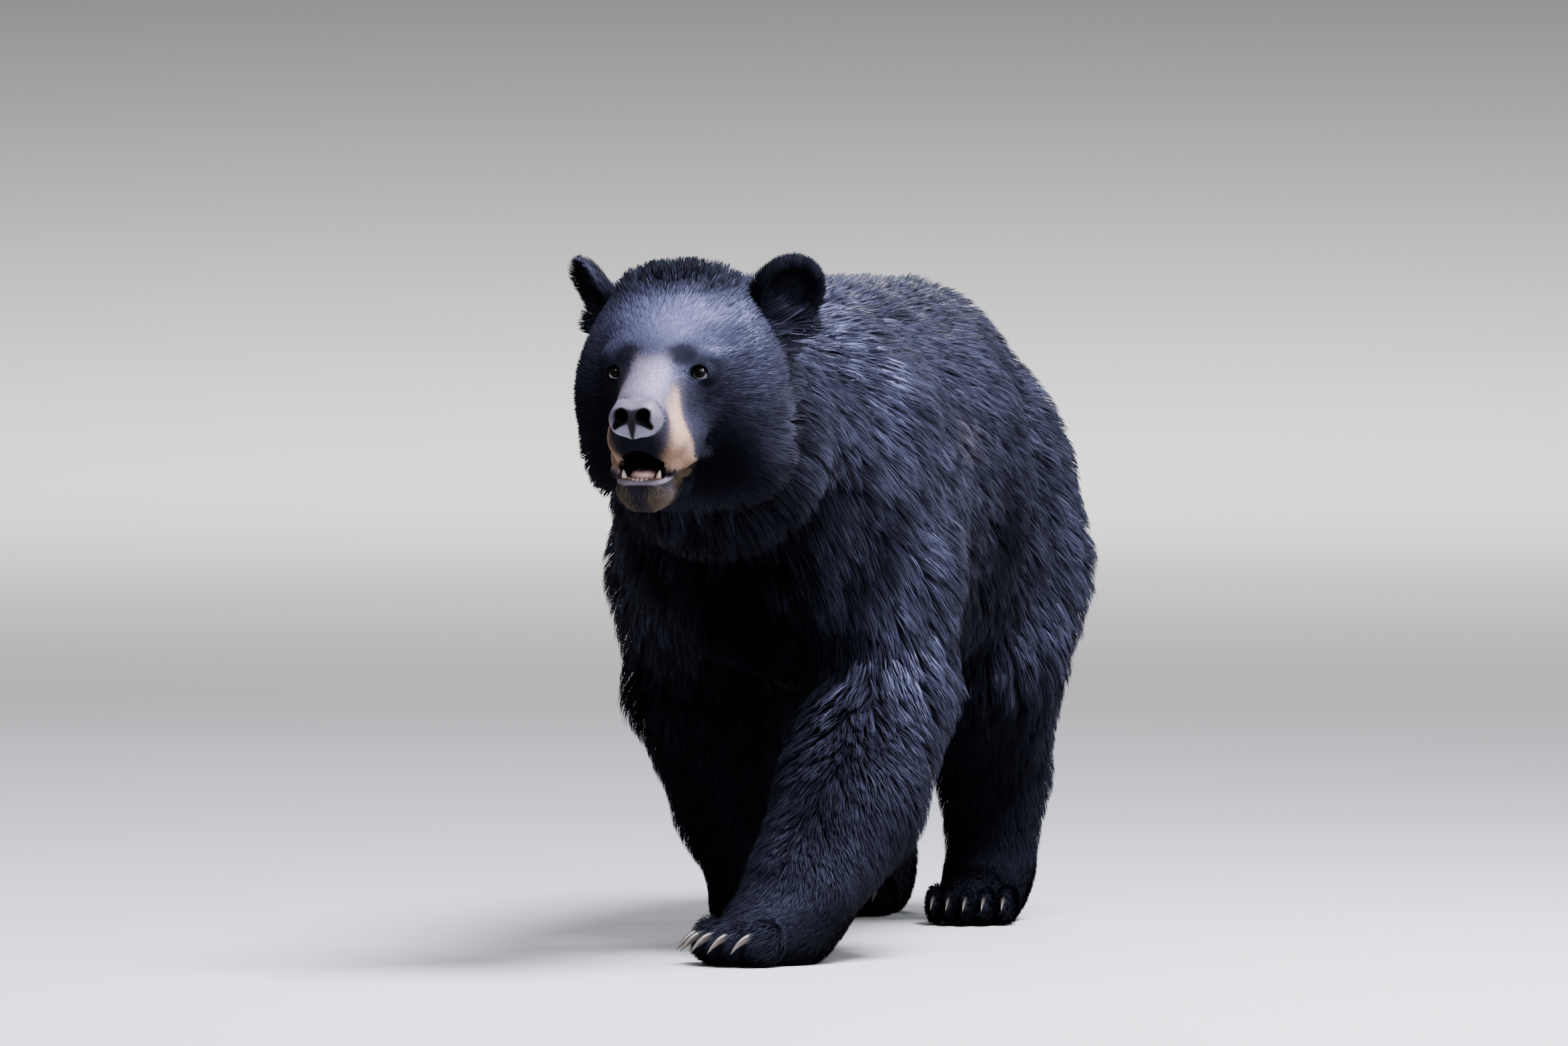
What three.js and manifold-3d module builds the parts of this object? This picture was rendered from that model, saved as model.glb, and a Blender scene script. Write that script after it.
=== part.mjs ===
// American black bear, a large adult male at life size, walking with its head level and its mouth open.
// Millimetres, +Z up. The bear faces -Y and its own left side is +X. The origin is on the floor, under the
// middle of the box that holds the bear.
//
// The body is one smooth field of rounded forms: it is negative inside the coat's outer surface. Each node
// is the field's surface within one region of the body, and neighbours are parted by thin plane cuts.

import * as THREE from 'three';
import { mergeVertices } from 'three/addons/utils/BufferGeometryUtils.js';
import Module from 'manifold-3d';

const wasm = await Module();
wasm.setup();

const { abs, hypot, min, max, PI } = Math;
const DEGREE = PI / 180;

// ---------------------------------------------------------------- driving dimensions

const GAP = 0.4; // width of the cut between neighbouring nodes
const HEAD_CENTRE = [0, -800, 742]; // middle of the braincase
const HEAD_TURN = 2 * DEGREE; // the head looks a little to the bear's right
const EYE = { across: 54, ahead: 124, up: 14, radius: 12.5 };
const NOSE = { ahead: 226, up: -44, width: 31, depth: 22, height: 25 };
const EAR = { across: 104, ahead: -34, up: 74, length: 100, width: 50, thickness: 15, lean: 30 * DEGREE };
const EAR_FACING = { left: 42 * DEGREE, right: 66 * DEGREE }; // how far the cup turns outward from ahead
const MOUTH = { corner: 104, cornerUp: -97, front: 256, upperUp: -85, lowerUp: -138, halfWidth: 110 };
const JAW = { hinge: 82, halfWidth: 50 };
const NAPE_BLEND = 80; // how softly the head runs into the neck

// Spacing of the surface grid: across, along and up.
const TRUNK_STEP = [63, 90, 62];
const TAIL_STEP = [24, 24, 30];
const NECK_STEP = [54, 56, 54];
const UPPER_LEG_STEP = [55, 66, 64];
const LOWER_LEG_STEP = [44, 42, 56];
const FOOT_STEP = [32, 33, 30];
const FACE_STEP = 21; // in front
const HEAD_STEP = 35; // behind the face

// Each foot: its middle on the floor, the way its toes point (outward is positive) and its size.
const FEET = {
  front_left: { x: 44, y: -578, turn: -38, length: 172, width: 140, height: 104, claw: 42 },
  front_right: { x: -46, y: -205, turn: -20, length: 168, width: 138, height: 98, claw: 42 },
  hind_left: { x: 100, y: 380, turn: 4, length: 222, width: 120, height: 92, claw: 30 },
  hind_right: { x: -100, y: 540, turn: 4, length: 222, width: 120, height: 92, claw: 30 },
};

// Each leg: joints from the trunk down, as [x, y, z, radius].
const LEGS = {
  front_left: [[134, -312, 500, 104], [136, -330, 350, 102], [122, -440, 205, 98], [84, -530, 100, 78]],
  front_right: [[-134, -296, 500, 106], [-130, -260, 350, 97], [-88, -200, 190, 86], [-56, -190, 90, 72]],
  hind_left: [[128, 390, 480, 124], [124, 325, 370, 108], [108, 436, 200, 79], [102, 452, 85, 63]],
  hind_right: [[-128, 415, 480, 124], [-124, 385, 370, 108], [-108, 572, 205, 79], [-102, 608, 90, 63]],
};

// ---------------------------------------------------------------- field of rounded forms

function ellipsoid([cx, cy, cz], [rx, ry, rz]) {
  return (x, y, z) => {
    const u = (x - cx) / rx;
    const v = (y - cy) / ry;
    const w = (z - cz) / rz;
    const k0 = hypot(u, v, w);
    const k1 = hypot(u / rx, v / ry, w / rz);
    return k1 < 1e-9 ? -min(rx, ry, rz) : (k0 * (k0 - 1)) / k1;
  };
}

// A tapered bar from a to b, round at both ends. Joints are [x, y, z, radius].
function bar([ax, ay, az, ra], [bx, by, bz, rb]) {
  const [dx, dy, dz] = [bx - ax, by - ay, bz - az];
  const lengthSquared = dx * dx + dy * dy + dz * dz;
  return (x, y, z) => {
    const t = ((x - ax) * dx + (y - ay) * dy + (z - az) * dz) / lengthSquared;
    const s = min(1, max(0, t));
    return hypot(x - ax - s * dx, y - ay - s * dy, z - az - s * dz) - (ra + s * (rb - ra));
  };
}

function chain(joints) {
  const bars = joints.slice(1).map((joint, i) => bar(joints[i], joint));
  return (x, y, z) => bars.reduce((d, f) => blendMin(d, f(x, y, z), 20), Infinity);
}

function blendMin(a, b, k) {
  const h = max(k - abs(a - b), 0) / k;
  return min(a, b) - (h * h * k) / 4;
}

// Forms joined one after the other, each with its own blend width.
function join(first, ...rest) {
  return (x, y, z) => rest.reduce((d, [k, f]) => blendMin(d, f(x, y, z), k), first(x, y, z));
}

// A field drawn in a frame of its own, moved and turned into place by the matrix.
function placed(matrix, field) {
  const e = matrix.clone().invert().elements;
  return (x, y, z) =>
    field(
      e[0] * x + e[4] * y + e[8] * z + e[12],
      e[1] * x + e[5] * y + e[9] * z + e[13],
      e[2] * x + e[6] * y + e[10] * z + e[14],
    );
}

const both = (make) => [make(1), make(-1)]; // left, then right

// ---------------------------------------------------------------- trunk, neck and tail

const haunch = (side) => [80, ellipsoid([side * 130, 390, 500], [106, 205, 232])];
const shoulder = (side) => [70, ellipsoid([side * 124, -300, 560], [92, 165, 220])];

const trunkField = join(
  ellipsoid([0, 352, 580], [190, 272, 297]), // rump
  [90, ellipsoid([0, 110, 592], [228, 290, 288])], // belly
  [90, ellipsoid([0, -130, 604], [214, 270, 275])], // ribs
  [90, ellipsoid([0, -340, 650], [160, 200, 226])], // withers
  [70, ellipsoid([0, -410, 535], [150, 150, 168])], // breast
  ...both(haunch),
  ...both(shoulder),
);

const neckField = join(
  bar([0, -420, 668, 184], [0, -690, 730, 124]),
  [60, ellipsoid([0, -655, 640], [132, 116, 124])], // ruff under the throat
);

const tailField = bar([0, 610, 640, 40], [0, 650, 560, 27]);

// ---------------------------------------------------------------- legs and feet

const footFrame = (foot, side) =>
  new THREE.Matrix4()
    .makeTranslation(foot.x, foot.y, 0)
    .multiply(new THREE.Matrix4().makeRotationZ(side * foot.turn * DEGREE));

const sideOf = (name) => (name.endsWith('left') ? 1 : -1);

const TOES = [-2, -1, 0, 1, 2];

// A toe's middle in the foot's own frame, where the foot points along -Y.
function toeCentre(foot, i) {
  const spread = foot.width * 0.4;
  return [(i / 2) * spread, -foot.length * (0.36 - 0.03 * i * i), foot.height * 0.3];
}

function footField(name) {
  const foot = FEET[name];
  const { length, width, height } = foot;
  const toe = (i) => [14, ellipsoid(toeCentre(foot, i), [width * 0.135, length * 0.2, height * 0.34])];
  const sole = ellipsoid([0, length * 0.06, height * 0.36], [width * 0.48, length * 0.46, height * 0.56]);
  return placed(footFrame(foot, sideOf(name)), join(sole, ...TOES.map(toe)));
}

const legFields = Object.fromEntries(
  Object.keys(LEGS).map((name) => [name, join(chain(LEGS[name]), [50, footField(name)])]),
);

// ---------------------------------------------------------------- head
// In the head's own frame u is across, v is ahead and w is up, from the middle of the braincase.

const headFrame = new THREE.Matrix4()
  .makeTranslation(...HEAD_CENTRE)
  .multiply(new THREE.Matrix4().makeRotationZ(-HEAD_TURN))
  .multiply(new THREE.Matrix4().makeScale(1, -1, 1));

const inHead = (u, v, w) => new THREE.Vector3(u, v, w).applyMatrix4(headFrame);

const skull = join(
  ellipsoid([0, 6, 14], [108, 120, 132]), // braincase
  [50, ellipsoid([0, 58, 28], [78, 80, 74])], // forehead
  ...both((side) => [30, ellipsoid([side * 44, -4, 60], [61, 80, 74])]), // temples
  ...both((side) => [44, ellipsoid([side * 72, 10, -20], [65, 86, 92])]), // cheeks
  ...both((side) => [40, ellipsoid([side * 56, -16, -92], [74, 74, 64])]), // jowls
  ...both((side) => [22, ellipsoid([side * 47, 116, 32], [30, 22, 17])]), // brows
);

const upperMuzzle = join(
  bar([0, 110, 2, 50], [0, 200, -35, 36]),
  ...both((side) => [26, bar([side * 23, 126, -58, 32], [side * 16, 194, -64, 28])]), // lips
  [10, ellipsoid([0, 214, -46], [35, 20, 30])], // base of the nose
);

const lowerMuzzle = join(
  bar([0, 84, -118, 35], [0, 166, -130, 30]),
  ...both((side) => [14, ellipsoid([side * 17, 170, -124], [15, 25, 16])]), // lower lip
);

const headLocal = join(skull, [38, upperMuzzle], [26, lowerMuzzle]);

const headField = placed(headFrame, headLocal);

// An ear, drawn upright in its own frame with the cup facing ahead, then leant out and turned.
function earFrame(side) {
  const facing = side > 0 ? EAR_FACING.left : EAR_FACING.right;
  return headFrame
    .clone()
    .multiply(new THREE.Matrix4().makeTranslation(side * EAR.across, EAR.ahead, EAR.up))
    .multiply(new THREE.Matrix4().makeRotationY(side * EAR.lean))
    .multiply(new THREE.Matrix4().makeRotationZ(-side * facing));
}

// ---------------------------------------------------------------- the whole bear

const neckAndTrunk = join(trunkField, [90, neckField], [24, tailField]);

const legJoins = Object.values(legFields).map((field) => [46, field]);

const wholeField = join(neckAndTrunk, [NAPE_BLEND, headField], ...legJoins);

const headAndNeck = join(headField, [NAPE_BLEND, neckField]);

// ---------------------------------------------------------------- surface of a field

// Grid lines from low to high: coarse steps, and fine ones between fineLow and fineHigh.
function gridLines([low, high], coarse, fine = coarse, [fineLow, fineHigh] = [low, low]) {
  const lines = [low];
  while (lines.at(-1) < high) {
    const at = lines.at(-1);
    lines.push(at + (at >= fineLow - 1e-6 && at < fineHigh ? fine : coarse));
  }
  return lines;
}

// Slides a point onto the field's zero along its slope, without leaving the cell from low to high.
function settle(field, point, low, high) {
  const step = 0.5;
  const reach = 0.3 * min(...high.map((h, n) => h - low[n]));
  const at = [...point];
  for (let i = 0; i < 4; i++) {
    const [x, y, z] = at;
    const slope = [
      (field(x + step, y, z) - field(x - step, y, z)) / (2 * step),
      (field(x, y + step, z) - field(x, y - step, z)) / (2 * step),
      (field(x, y, z + step) - field(x, y, z - step)) / (2 * step),
    ];
    const steepness = slope.reduce((sum, s) => sum + s * s, 1e-9);
    const move = field(x, y, z) / steepness;
    for (let n = 0; n < 3; n++) {
      const nearest = max(low[n], point[n] - reach);
      const farthest = min(high[n], point[n] + reach);
      at[n] = min(farthest, max(nearest, at[n] - move * slope[n]));
    }
  }
  return at;
}

// The closed surface of a field on a box of grid lines: one vertex in each cell that the surface
// crosses, and one quad across each grid edge that it crosses.
function surfaceOf(field, xs, ys, zs) {
  const [nx, ny, nz] = [xs.length, ys.length, zs.length];
  const at = (i, j, k) => (k * ny + j) * nx + i;
  const values = new Float64Array(nx * ny * nz);
  for (let k = 0; k < nz; k++) {
    for (let j = 0; j < ny; j++) {
      for (let i = 0; i < nx; i++) {
        const edge = i === 0 || j === 0 || k === 0 || i === nx - 1 || j === ny - 1 || k === nz - 1;
        const value = field(xs[i], ys[j], zs[k]);
        values[at(i, j, k)] = edge ? max(value, 1e-3) : value;
      }
    }
  }
  const corner = (i, j, k) => [xs[i], ys[j], zs[k]];
  const steps = [[1, 0, 0], [0, 1, 0], [0, 0, 1]];
  const cellVertex = new Int32Array(nx * ny * nz).fill(-1);
  const positions = [];

  function addCell(i, j, k) {
    const sum = [0, 0, 0];
    let crossings = 0;
    steps.forEach(([ax, ay, az], axis) => {
      const [b, c] = [(axis + 1) % 3, (axis + 2) % 3];
      for (let m = 0; m < 4; m++) {
        const start = [i, j, k];
        start[b] += m & 1;
        start[c] += m >> 1;
        const va = values[at(...start)];
        const vb = values[at(start[0] + ax, start[1] + ay, start[2] + az)];
        if (va < 0 === vb < 0) continue;
        const t = va / (va - vb);
        const low = corner(...start);
        const high = corner(start[0] + ax, start[1] + ay, start[2] + az);
        for (let n = 0; n < 3; n++) sum[n] += low[n] + t * (high[n] - low[n]);
        crossings++;
      }
    });
    if (!crossings) return;
    const middle = sum.map((s) => s / crossings);
    cellVertex[at(i, j, k)] = positions.length / 3;
    positions.push(...settle(field, middle, corner(i, j, k), corner(i + 1, j + 1, k + 1)));
  }

  for (let k = 0; k < nz - 1; k++) {
    for (let j = 0; j < ny - 1; j++) {
      for (let i = 0; i < nx - 1; i++) addCell(i, j, k);
    }
  }

  const index = [];
  function addQuad(i, j, k, axis) {
    const next = [i, j, k];
    if (next.some((n, other) => n === 0 && other !== axis)) return;
    next[axis]++;
    const inside = values[at(i, j, k)] < 0;
    if (inside === values[at(...next)] < 0) return;
    const [b, c] = [(axis + 1) % 3, (axis + 2) % 3];
    const cell = (db, dc) => {
      const q = [i, j, k];
      q[b] -= db;
      q[c] -= dc;
      return cellVertex[at(...q)];
    };
    const ring = [cell(0, 0), cell(1, 0), cell(1, 1), cell(0, 1)];
    if (!inside) ring.reverse();
    index.push(ring[0], ring[1], ring[2], ring[0], ring[2], ring[3]);
  }
  for (let k = 0; k < nz - 1; k++) {
    for (let j = 0; j < ny - 1; j++) {
      for (let i = 0; i < nx - 1; i++) [0, 1, 2].forEach((axis) => addQuad(i, j, k, axis));
    }
  }
  return new THREE.BufferGeometry()
    .setAttribute('position', new THREE.Float32BufferAttribute(positions, 3))
    .setIndex(index);
}

// ---------------------------------------------------------------- solids: joins and plane cuts

function solidOf(geometry, matrix = new THREE.Matrix4()) {
  const bare = geometry.clone().applyMatrix4(matrix);
  bare.deleteAttribute('normal');
  bare.deleteAttribute('uv');
  const merged = mergeVertices(bare, 1e-3);
  const triVerts = new Uint32Array(merged.index.array);
  if (matrix.determinant() < 0) triVerts.reverse();
  const vertProperties = merged.attributes.position.array;
  return new wasm.Manifold(new wasm.Mesh({ numProp: 3, vertProperties, triVerts }));
}

function geometryOf(solid) {
  const mesh = solid.getMesh();
  return new THREE.BufferGeometry()
    .setAttribute('position', new THREE.Float32BufferAttribute(mesh.vertProperties, 3))
    .setIndex(Array.from(mesh.triVerts));
}

function surfaceWithin(field, low, high, step) {
  const [xs, ys, zs] = step.map((size, n) => gridLines([low[n], high[n]], size));
  return solidOf(surfaceOf(field, xs, ys, zs));
}

// The largest single body of a solid, without stray crumbs.
const mainBody = (solid) => solid.decompose().sort((a, b) => b.volume() - a.volume())[0];

const BIG = 3000;

// Everything on one side of a plane: the side that the normal points to, from the point on.
function halfSpace(point, normal, gap = GAP) {
  const way = new THREE.Vector3(...normal).normalize();
  const turn = new THREE.Quaternion().setFromUnitVectors(new THREE.Vector3(0, 0, 1), way);
  const centre = new THREE.Vector3(...point).addScaledVector(way, BIG / 2 + gap / 2);
  const matrix = new THREE.Matrix4().compose(centre, turn, new THREE.Vector3(1, 1, 1));
  return solidOf(new THREE.BoxGeometry(BIG, BIG, BIG), matrix);
}

// A rounded solid in a frame of its own, from its middle and its three radii.
function roundedSolid(frame, middle, radii, around, down) {
  const place = new THREE.Matrix4().makeTranslation(...middle).scale(new THREE.Vector3(...radii));
  return solidOf(new THREE.SphereGeometry(1, around, down), frame.clone().multiply(place));
}

// ---------------------------------------------------------------- regions of the body
// Each cut is a plane given by a point on it and the direction of the part beyond it.

const CUTS = {
  head: [[0, -706, 720], [0, -0.985, 0.17]],
  neck: [[0, -484, 690], [0, -0.94, 0.34]],
  tail: [[0, 644, 600], [0, 1, 0.25]],
};

const LIMB_CUTS = {
  front: { inner: 56, top: 392, ahead: -540, behind: -128, joint: 280, foot: 112 },
  hind: { inner: 56, top: 380, ahead: 178, behind: 900, joint: 280, foot: 112 },
};

const SIDE_REACH = 330; // further out than any part of the body, and a whole number of leg steps
const LEG_REACH = 190; // further than any leg reaches from its own middle

const limbCut = (name) => LIMB_CUTS[name.split('_')[0]];

// The wedge of the body that belongs to one leg.
function limbRegion(name, gap) {
  const side = sideOf(name);
  const { inner, top, ahead, behind } = limbCut(name);
  return halfSpace([side * inner, 0, top], [side * 0.8, 0, -0.6], gap)
    .intersect(halfSpace([0, ahead, 0], [0, 1, 0], gap))
    .intersect(halfSpace([0, behind, 0], [0, -1, 0], gap));
}

const floor = halfSpace([0, 0, 0], [0, 0, 1], 0);
const inHeadRegion = halfSpace(...CUTS.head);
const behindHead = halfSpace(CUTS.head[0], CUTS.head[1].map((v) => -v));
const inNeckRegion = halfSpace(...CUTS.neck);
const behindNeck = halfSpace(CUTS.neck[0], CUTS.neck[1].map((v) => -v));

// ---------------------------------------------------------------- node solids

function trunkSolids() {
  let trunk = surfaceWithin(wholeField, [-315, -640, 235], [315, 720, 940], TRUNK_STEP)
    .intersect(behindNeck)
    .intersect(halfSpace([0, 0, LIMB_CUTS.front.joint], [0, 0, 1]));
  for (const name of Object.keys(LEGS)) trunk = trunk.subtract(limbRegion(name, -GAP));
  const tailSource = surfaceWithin(wholeField, [-80, 560, 490], [80, 720, 720], TAIL_STEP);
  const beyond = halfSpace(...CUTS.tail);
  const before = halfSpace(CUTS.tail[0], CUTS.tail[1].map((v) => -v));
  return { trunk: mainBody(trunk.intersect(before)), tail: mainBody(tailSource.intersect(beyond)) };
}

function neckSolid() {
  const source = surfaceWithin(wholeField, [-270, -800, 400], [270, -380, 925], NECK_STEP);
  return mainBody(source.intersect(behindHead).intersect(inNeckRegion));
}

function legSolids(name) {
  const foot = FEET[name];
  const { ahead, behind, joint, foot: ankle } = limbCut(name);
  const above = (z) => halfSpace([0, 0, z], [0, 0, 1]);
  const below = (z) => halfSpace([0, 0, z], [0, 0, -1]);

  const outside = sideOf(name) * SIDE_REACH;
  const upperLow = [min(0, outside), max(ahead, -560) - 58, joint - 58];
  const upperHigh = [max(0, outside), min(behind, 680) + 58, 700];
  const upper = surfaceWithin(wholeField, upperLow, upperHigh, UPPER_LEG_STEP)
    .intersect(limbRegion(name, GAP))
    .intersect(above(joint));

  const along = [...LEGS[name].map((place) => place[1]), foot.y];
  const low = [foot.x - LEG_REACH, min(...along) - LEG_REACH];
  const high = [foot.x + LEG_REACH, max(...along) + LEG_REACH];
  const lower = surfaceWithin(legFields[name], [...low, ankle - 45], [...high, joint + 48], LOWER_LEG_STEP)
    .intersect(above(ankle))
    .intersect(below(joint));

  const paw = surfaceWithin(legFields[name], [...low, -30], [...high, ankle + 30], FOOT_STEP)
    .intersect(floor)
    .intersect(below(ankle));
  return { upper: mainBody(upper), lower: mainBody(lower), paw: mainBody(paw) };
}

// A claw is a narrow cone bent down along an arc, from inside the toe out past its tip.
function clawGeometry(foot, i, grow) {
  const radius = foot.claw * 0.17 + grow;
  const cone = new THREE.ConeGeometry(radius, foot.claw, 5, 2);
  const place = cone.attributes.position;
  const [tx, ty, tz] = toeCentre(foot, i);
  const start = ty - foot.length * 0.135;
  for (let n = 0; n < place.count; n++) {
    const along = place.getY(n) / foot.claw + 0.5;
    const drop = along * along * foot.claw * 0.5;
    const across = tx - place.getX(n) * 0.7;
    place.setXYZ(n, across, start - along * foot.claw * 0.85, tz + 8 + place.getZ(n) - drop);
  }
  return cone;
}

function clawSolids(name) {
  const foot = FEET[name];
  const frame = footFrame(foot, sideOf(name));
  return TOES.map((i) => ({
    solid: solidOf(clawGeometry(foot, i, 0), frame),
    room: solidOf(clawGeometry(foot, i, GAP), frame),
  }));
}

// ---------------------------------------------------------------- face

// The hollow between brow and cheek that the eye sits in.
function eyeSocket(side) {
  const middle = [side * EYE.across, EYE.ahead + 16, EYE.up];
  return roundedSolid(headFrame, middle, [17, 16, 13], 8, 5);
}

// The bare pad, with two nostrils that open to the front and the sides.
function nosePad(grow) {
  const { ahead, up, width, depth, height } = NOSE;
  const radii = [width + grow, depth + grow, height + grow];
  return roundedSolid(headFrame, [0, ahead, up], radii, 12, 8);
}

function nostril(side) {
  const middle = [side * NOSE.width * 0.48, NOSE.ahead + NOSE.depth * 0.85, NOSE.up];
  return roundedSolid(headFrame, middle, [8, 14, 7], 7, 4);
}

// A tooth that stands on the lower jaw, its root inside the jaw.
function tooth(across, ahead, up, radius, height) {
  const stand = new THREE.Matrix4()
    .makeTranslation(across, ahead, up)
    .multiply(new THREE.Matrix4().makeRotationX(PI / 2));
  return solidOf(new THREE.ConeGeometry(radius, height, 6, 1), headFrame.clone().multiply(stand));
}

function lowerTeeth() {
  const canines = both((side) => tooth(side * 19, 176, -108, 5.5, 30));
  const incisor = (n) => tooth(n * 5.2, 186 - n * n * 0.8, -118, 3.2, 16);
  return [...canines, ...[-2.5, -1.5, -0.5, 0.5, 1.5, 2.5].map(incisor)];
}

const tongueSolid = (grow) =>
  roundedSolid(headFrame, [0, 150, -112], [19 + grow, 34 + grow, 10 + grow], 10, 5);

// The open mouth: a wedge through the muzzle, from its corners out to the front.
function mouthWedge() {
  const { corner, cornerUp, front, upperUp, lowerUp, halfWidth } = MOUTH;
  const profile = new THREE.Shape([
    new THREE.Vector2(corner, cornerUp),
    new THREE.Vector2(front, lowerUp),
    new THREE.Vector2(front, upperUp),
  ]);
  const wedge = new THREE.ExtrudeGeometry(profile, { depth: 2 * halfWidth, bevelEnabled: false });
  const aheadAndUp = new THREE.Matrix4().makeBasis(
    new THREE.Vector3(0, 1, 0),
    new THREE.Vector3(0, 0, 1),
    new THREE.Vector3(1, 0, 0),
  );
  const place = new THREE.Matrix4().makeTranslation(-halfWidth, 0, 0).multiply(aheadAndUp);
  return solidOf(wedge, headFrame.clone().multiply(place));
}

// The part of the head that is the lower jaw.
function jawRegion(gap) {
  const hinge = inHead(0, JAW.hinge, MOUTH.cornerUp).toArray();
  const beside = (side) => halfSpace([side * JAW.halfWidth, 0, 0], [-side, 0, 0], gap);
  return halfSpace(hinge, [0, 0, -1], gap)
    .intersect(halfSpace(hinge, [0, -1, 0], gap))
    .intersect(beside(1))
    .intersect(beside(-1));
}

// An ear in its own frame: a cupped shell on a short root, up to where the head takes over.
function earSolid(side, headRoom) {
  const { length, width, thickness } = EAR;
  const frame = earFrame(side);
  const shell = roundedSolid(frame, [0, 0, length * 0.42], [width, thickness * 1.5, length * 0.52], 13, 7);
  const root = roundedSolid(frame, [0, -5, 0], [34, 26, 44], 8, 5);
  const cupMiddle = [0, thickness * 1.9, length * 0.44];
  const cup = roundedSolid(frame, cupMiddle, [width * 0.84, thickness * 2.1, length * 0.42], 10, 6);
  return mainBody(shell.add(root).subtract(cup).subtract(headRoom));
}

function faceSolids() {
  const xs = gridLines([-180, 180], HEAD_STEP, FACE_STEP, [-60, 60]);
  const ys = gridLines([-1060, -640], FACE_STEP, HEAD_STEP, [-900, -640]);
  const zs = gridLines([513, 925], FACE_STEP, HEAD_STEP, [785, 925]);
  const whole = solidOf(surfaceOf(headAndNeck, xs, ys, zs));
  const grown = solidOf(surfaceOf((x, y, z) => headAndNeck(x, y, z) - 2 * GAP, xs, ys, zs));

  const eyeball = (side, grow) => {
    const radius = EYE.radius + grow;
    return roundedSolid(headFrame, [side * EYE.across, EYE.ahead, EYE.up], [radius, radius, radius], 8, 6);
  };
  let head = whole.intersect(inHeadRegion).subtract(mouthWedge()).subtract(nosePad(GAP));
  for (const hollow of [...both(eyeSocket), ...both((side) => eyeball(side, GAP))]) {
    head = head.subtract(hollow);
  }

  let jaw = mainBody(head.intersect(jawRegion(GAP)).subtract(tongueSolid(GAP)));
  for (const one of lowerTeeth()) jaw = jaw.add(one);
  return {
    head: mainBody(head.subtract(jawRegion(-GAP)).subtract(tongueSolid(GAP))),
    jaw,
    tongue: tongueSolid(0),
    nose: nosePad(0).subtract(nostril(1)).subtract(nostril(-1)),
    eyes: both((side) => eyeball(side, 0)),
    ears: both((side) => earSolid(side, grown)),
  };
}

// ---------------------------------------------------------------- the model

const coat = new THREE.MeshStandardMaterial({ color: 0x0b0c10, roughness: 0.55, metalness: 0 });
const muzzleCoat = new THREE.MeshStandardMaterial({ color: 0x9a7450, roughness: 0.7, metalness: 0 });
const bareSkin = new THREE.MeshStandardMaterial({ color: 0x1c1b20, roughness: 0.4, metalness: 0 });
const mouthSkin = new THREE.MeshStandardMaterial({ color: 0xb98a8c, roughness: 0.35, metalness: 0 });
const horn = new THREE.MeshStandardMaterial({ color: 0x16130f, roughness: 0.35, metalness: 0 });
const darkEye = new THREE.MeshStandardMaterial({ color: 0x0d0806, roughness: 0.08, metalness: 0 });

const bear = new THREE.Group();
const addNode = (name, solid, material) => {
  const mesh = new THREE.Mesh(geometryOf(solid), material);
  mesh.name = name;
  bear.add(mesh);
};

const { trunk, tail } = trunkSolids();
addNode('trunk', trunk, coat);
addNode('tail', tail, coat);
addNode('neck', neckSolid(), coat);

const { head, jaw, tongue, nose, eyes, ears } = faceSolids();
addNode('head', head, coat);
addNode('lower_jaw', jaw, muzzleCoat);
addNode('tongue', tongue, mouthSkin);
addNode('nose', nose, bareSkin);
['left', 'right'].forEach((side, i) => {
  addNode(`eye_${side}`, eyes[i], darkEye);
  addNode(`ear_${side}`, ears[i], coat);
});

for (const name of Object.keys(LEGS)) {
  const leg = legSolids(name);
  const claws = clawSolids(name);
  let paw = leg.paw;
  for (const claw of claws) paw = paw.subtract(claw.room);
  addNode(`${name}_leg_upper`, leg.upper, coat);
  addNode(`${name}_leg_lower`, leg.lower, coat);
  addNode(`${name}_paw`, mainBody(paw), coat);
  claws.forEach((claw, i) => addNode(`${name}_claw_${i + 1}`, claw.solid, horn));
}

// Rest the bear on the floor, centred on the origin.
const box = new THREE.Box3().setFromObject(bear);
bear.position.set(-(box.min.x + box.max.x) / 2, -(box.min.y + box.max.y) / 2, -box.min.z);

export default bear;
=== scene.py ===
"""The looks of a black bear: one skin under a coat of tufts, with its own eyes, nose, mouth and claws.

The forms are in millimetres and have the places that the part's solids give them; meshes are in metres.
The bear faces -Y and its own left is +X.
"""

import math

import bmesh
import bpy
import numpy as np
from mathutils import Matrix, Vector
from mathutils.kdtree import KDTree


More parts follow.
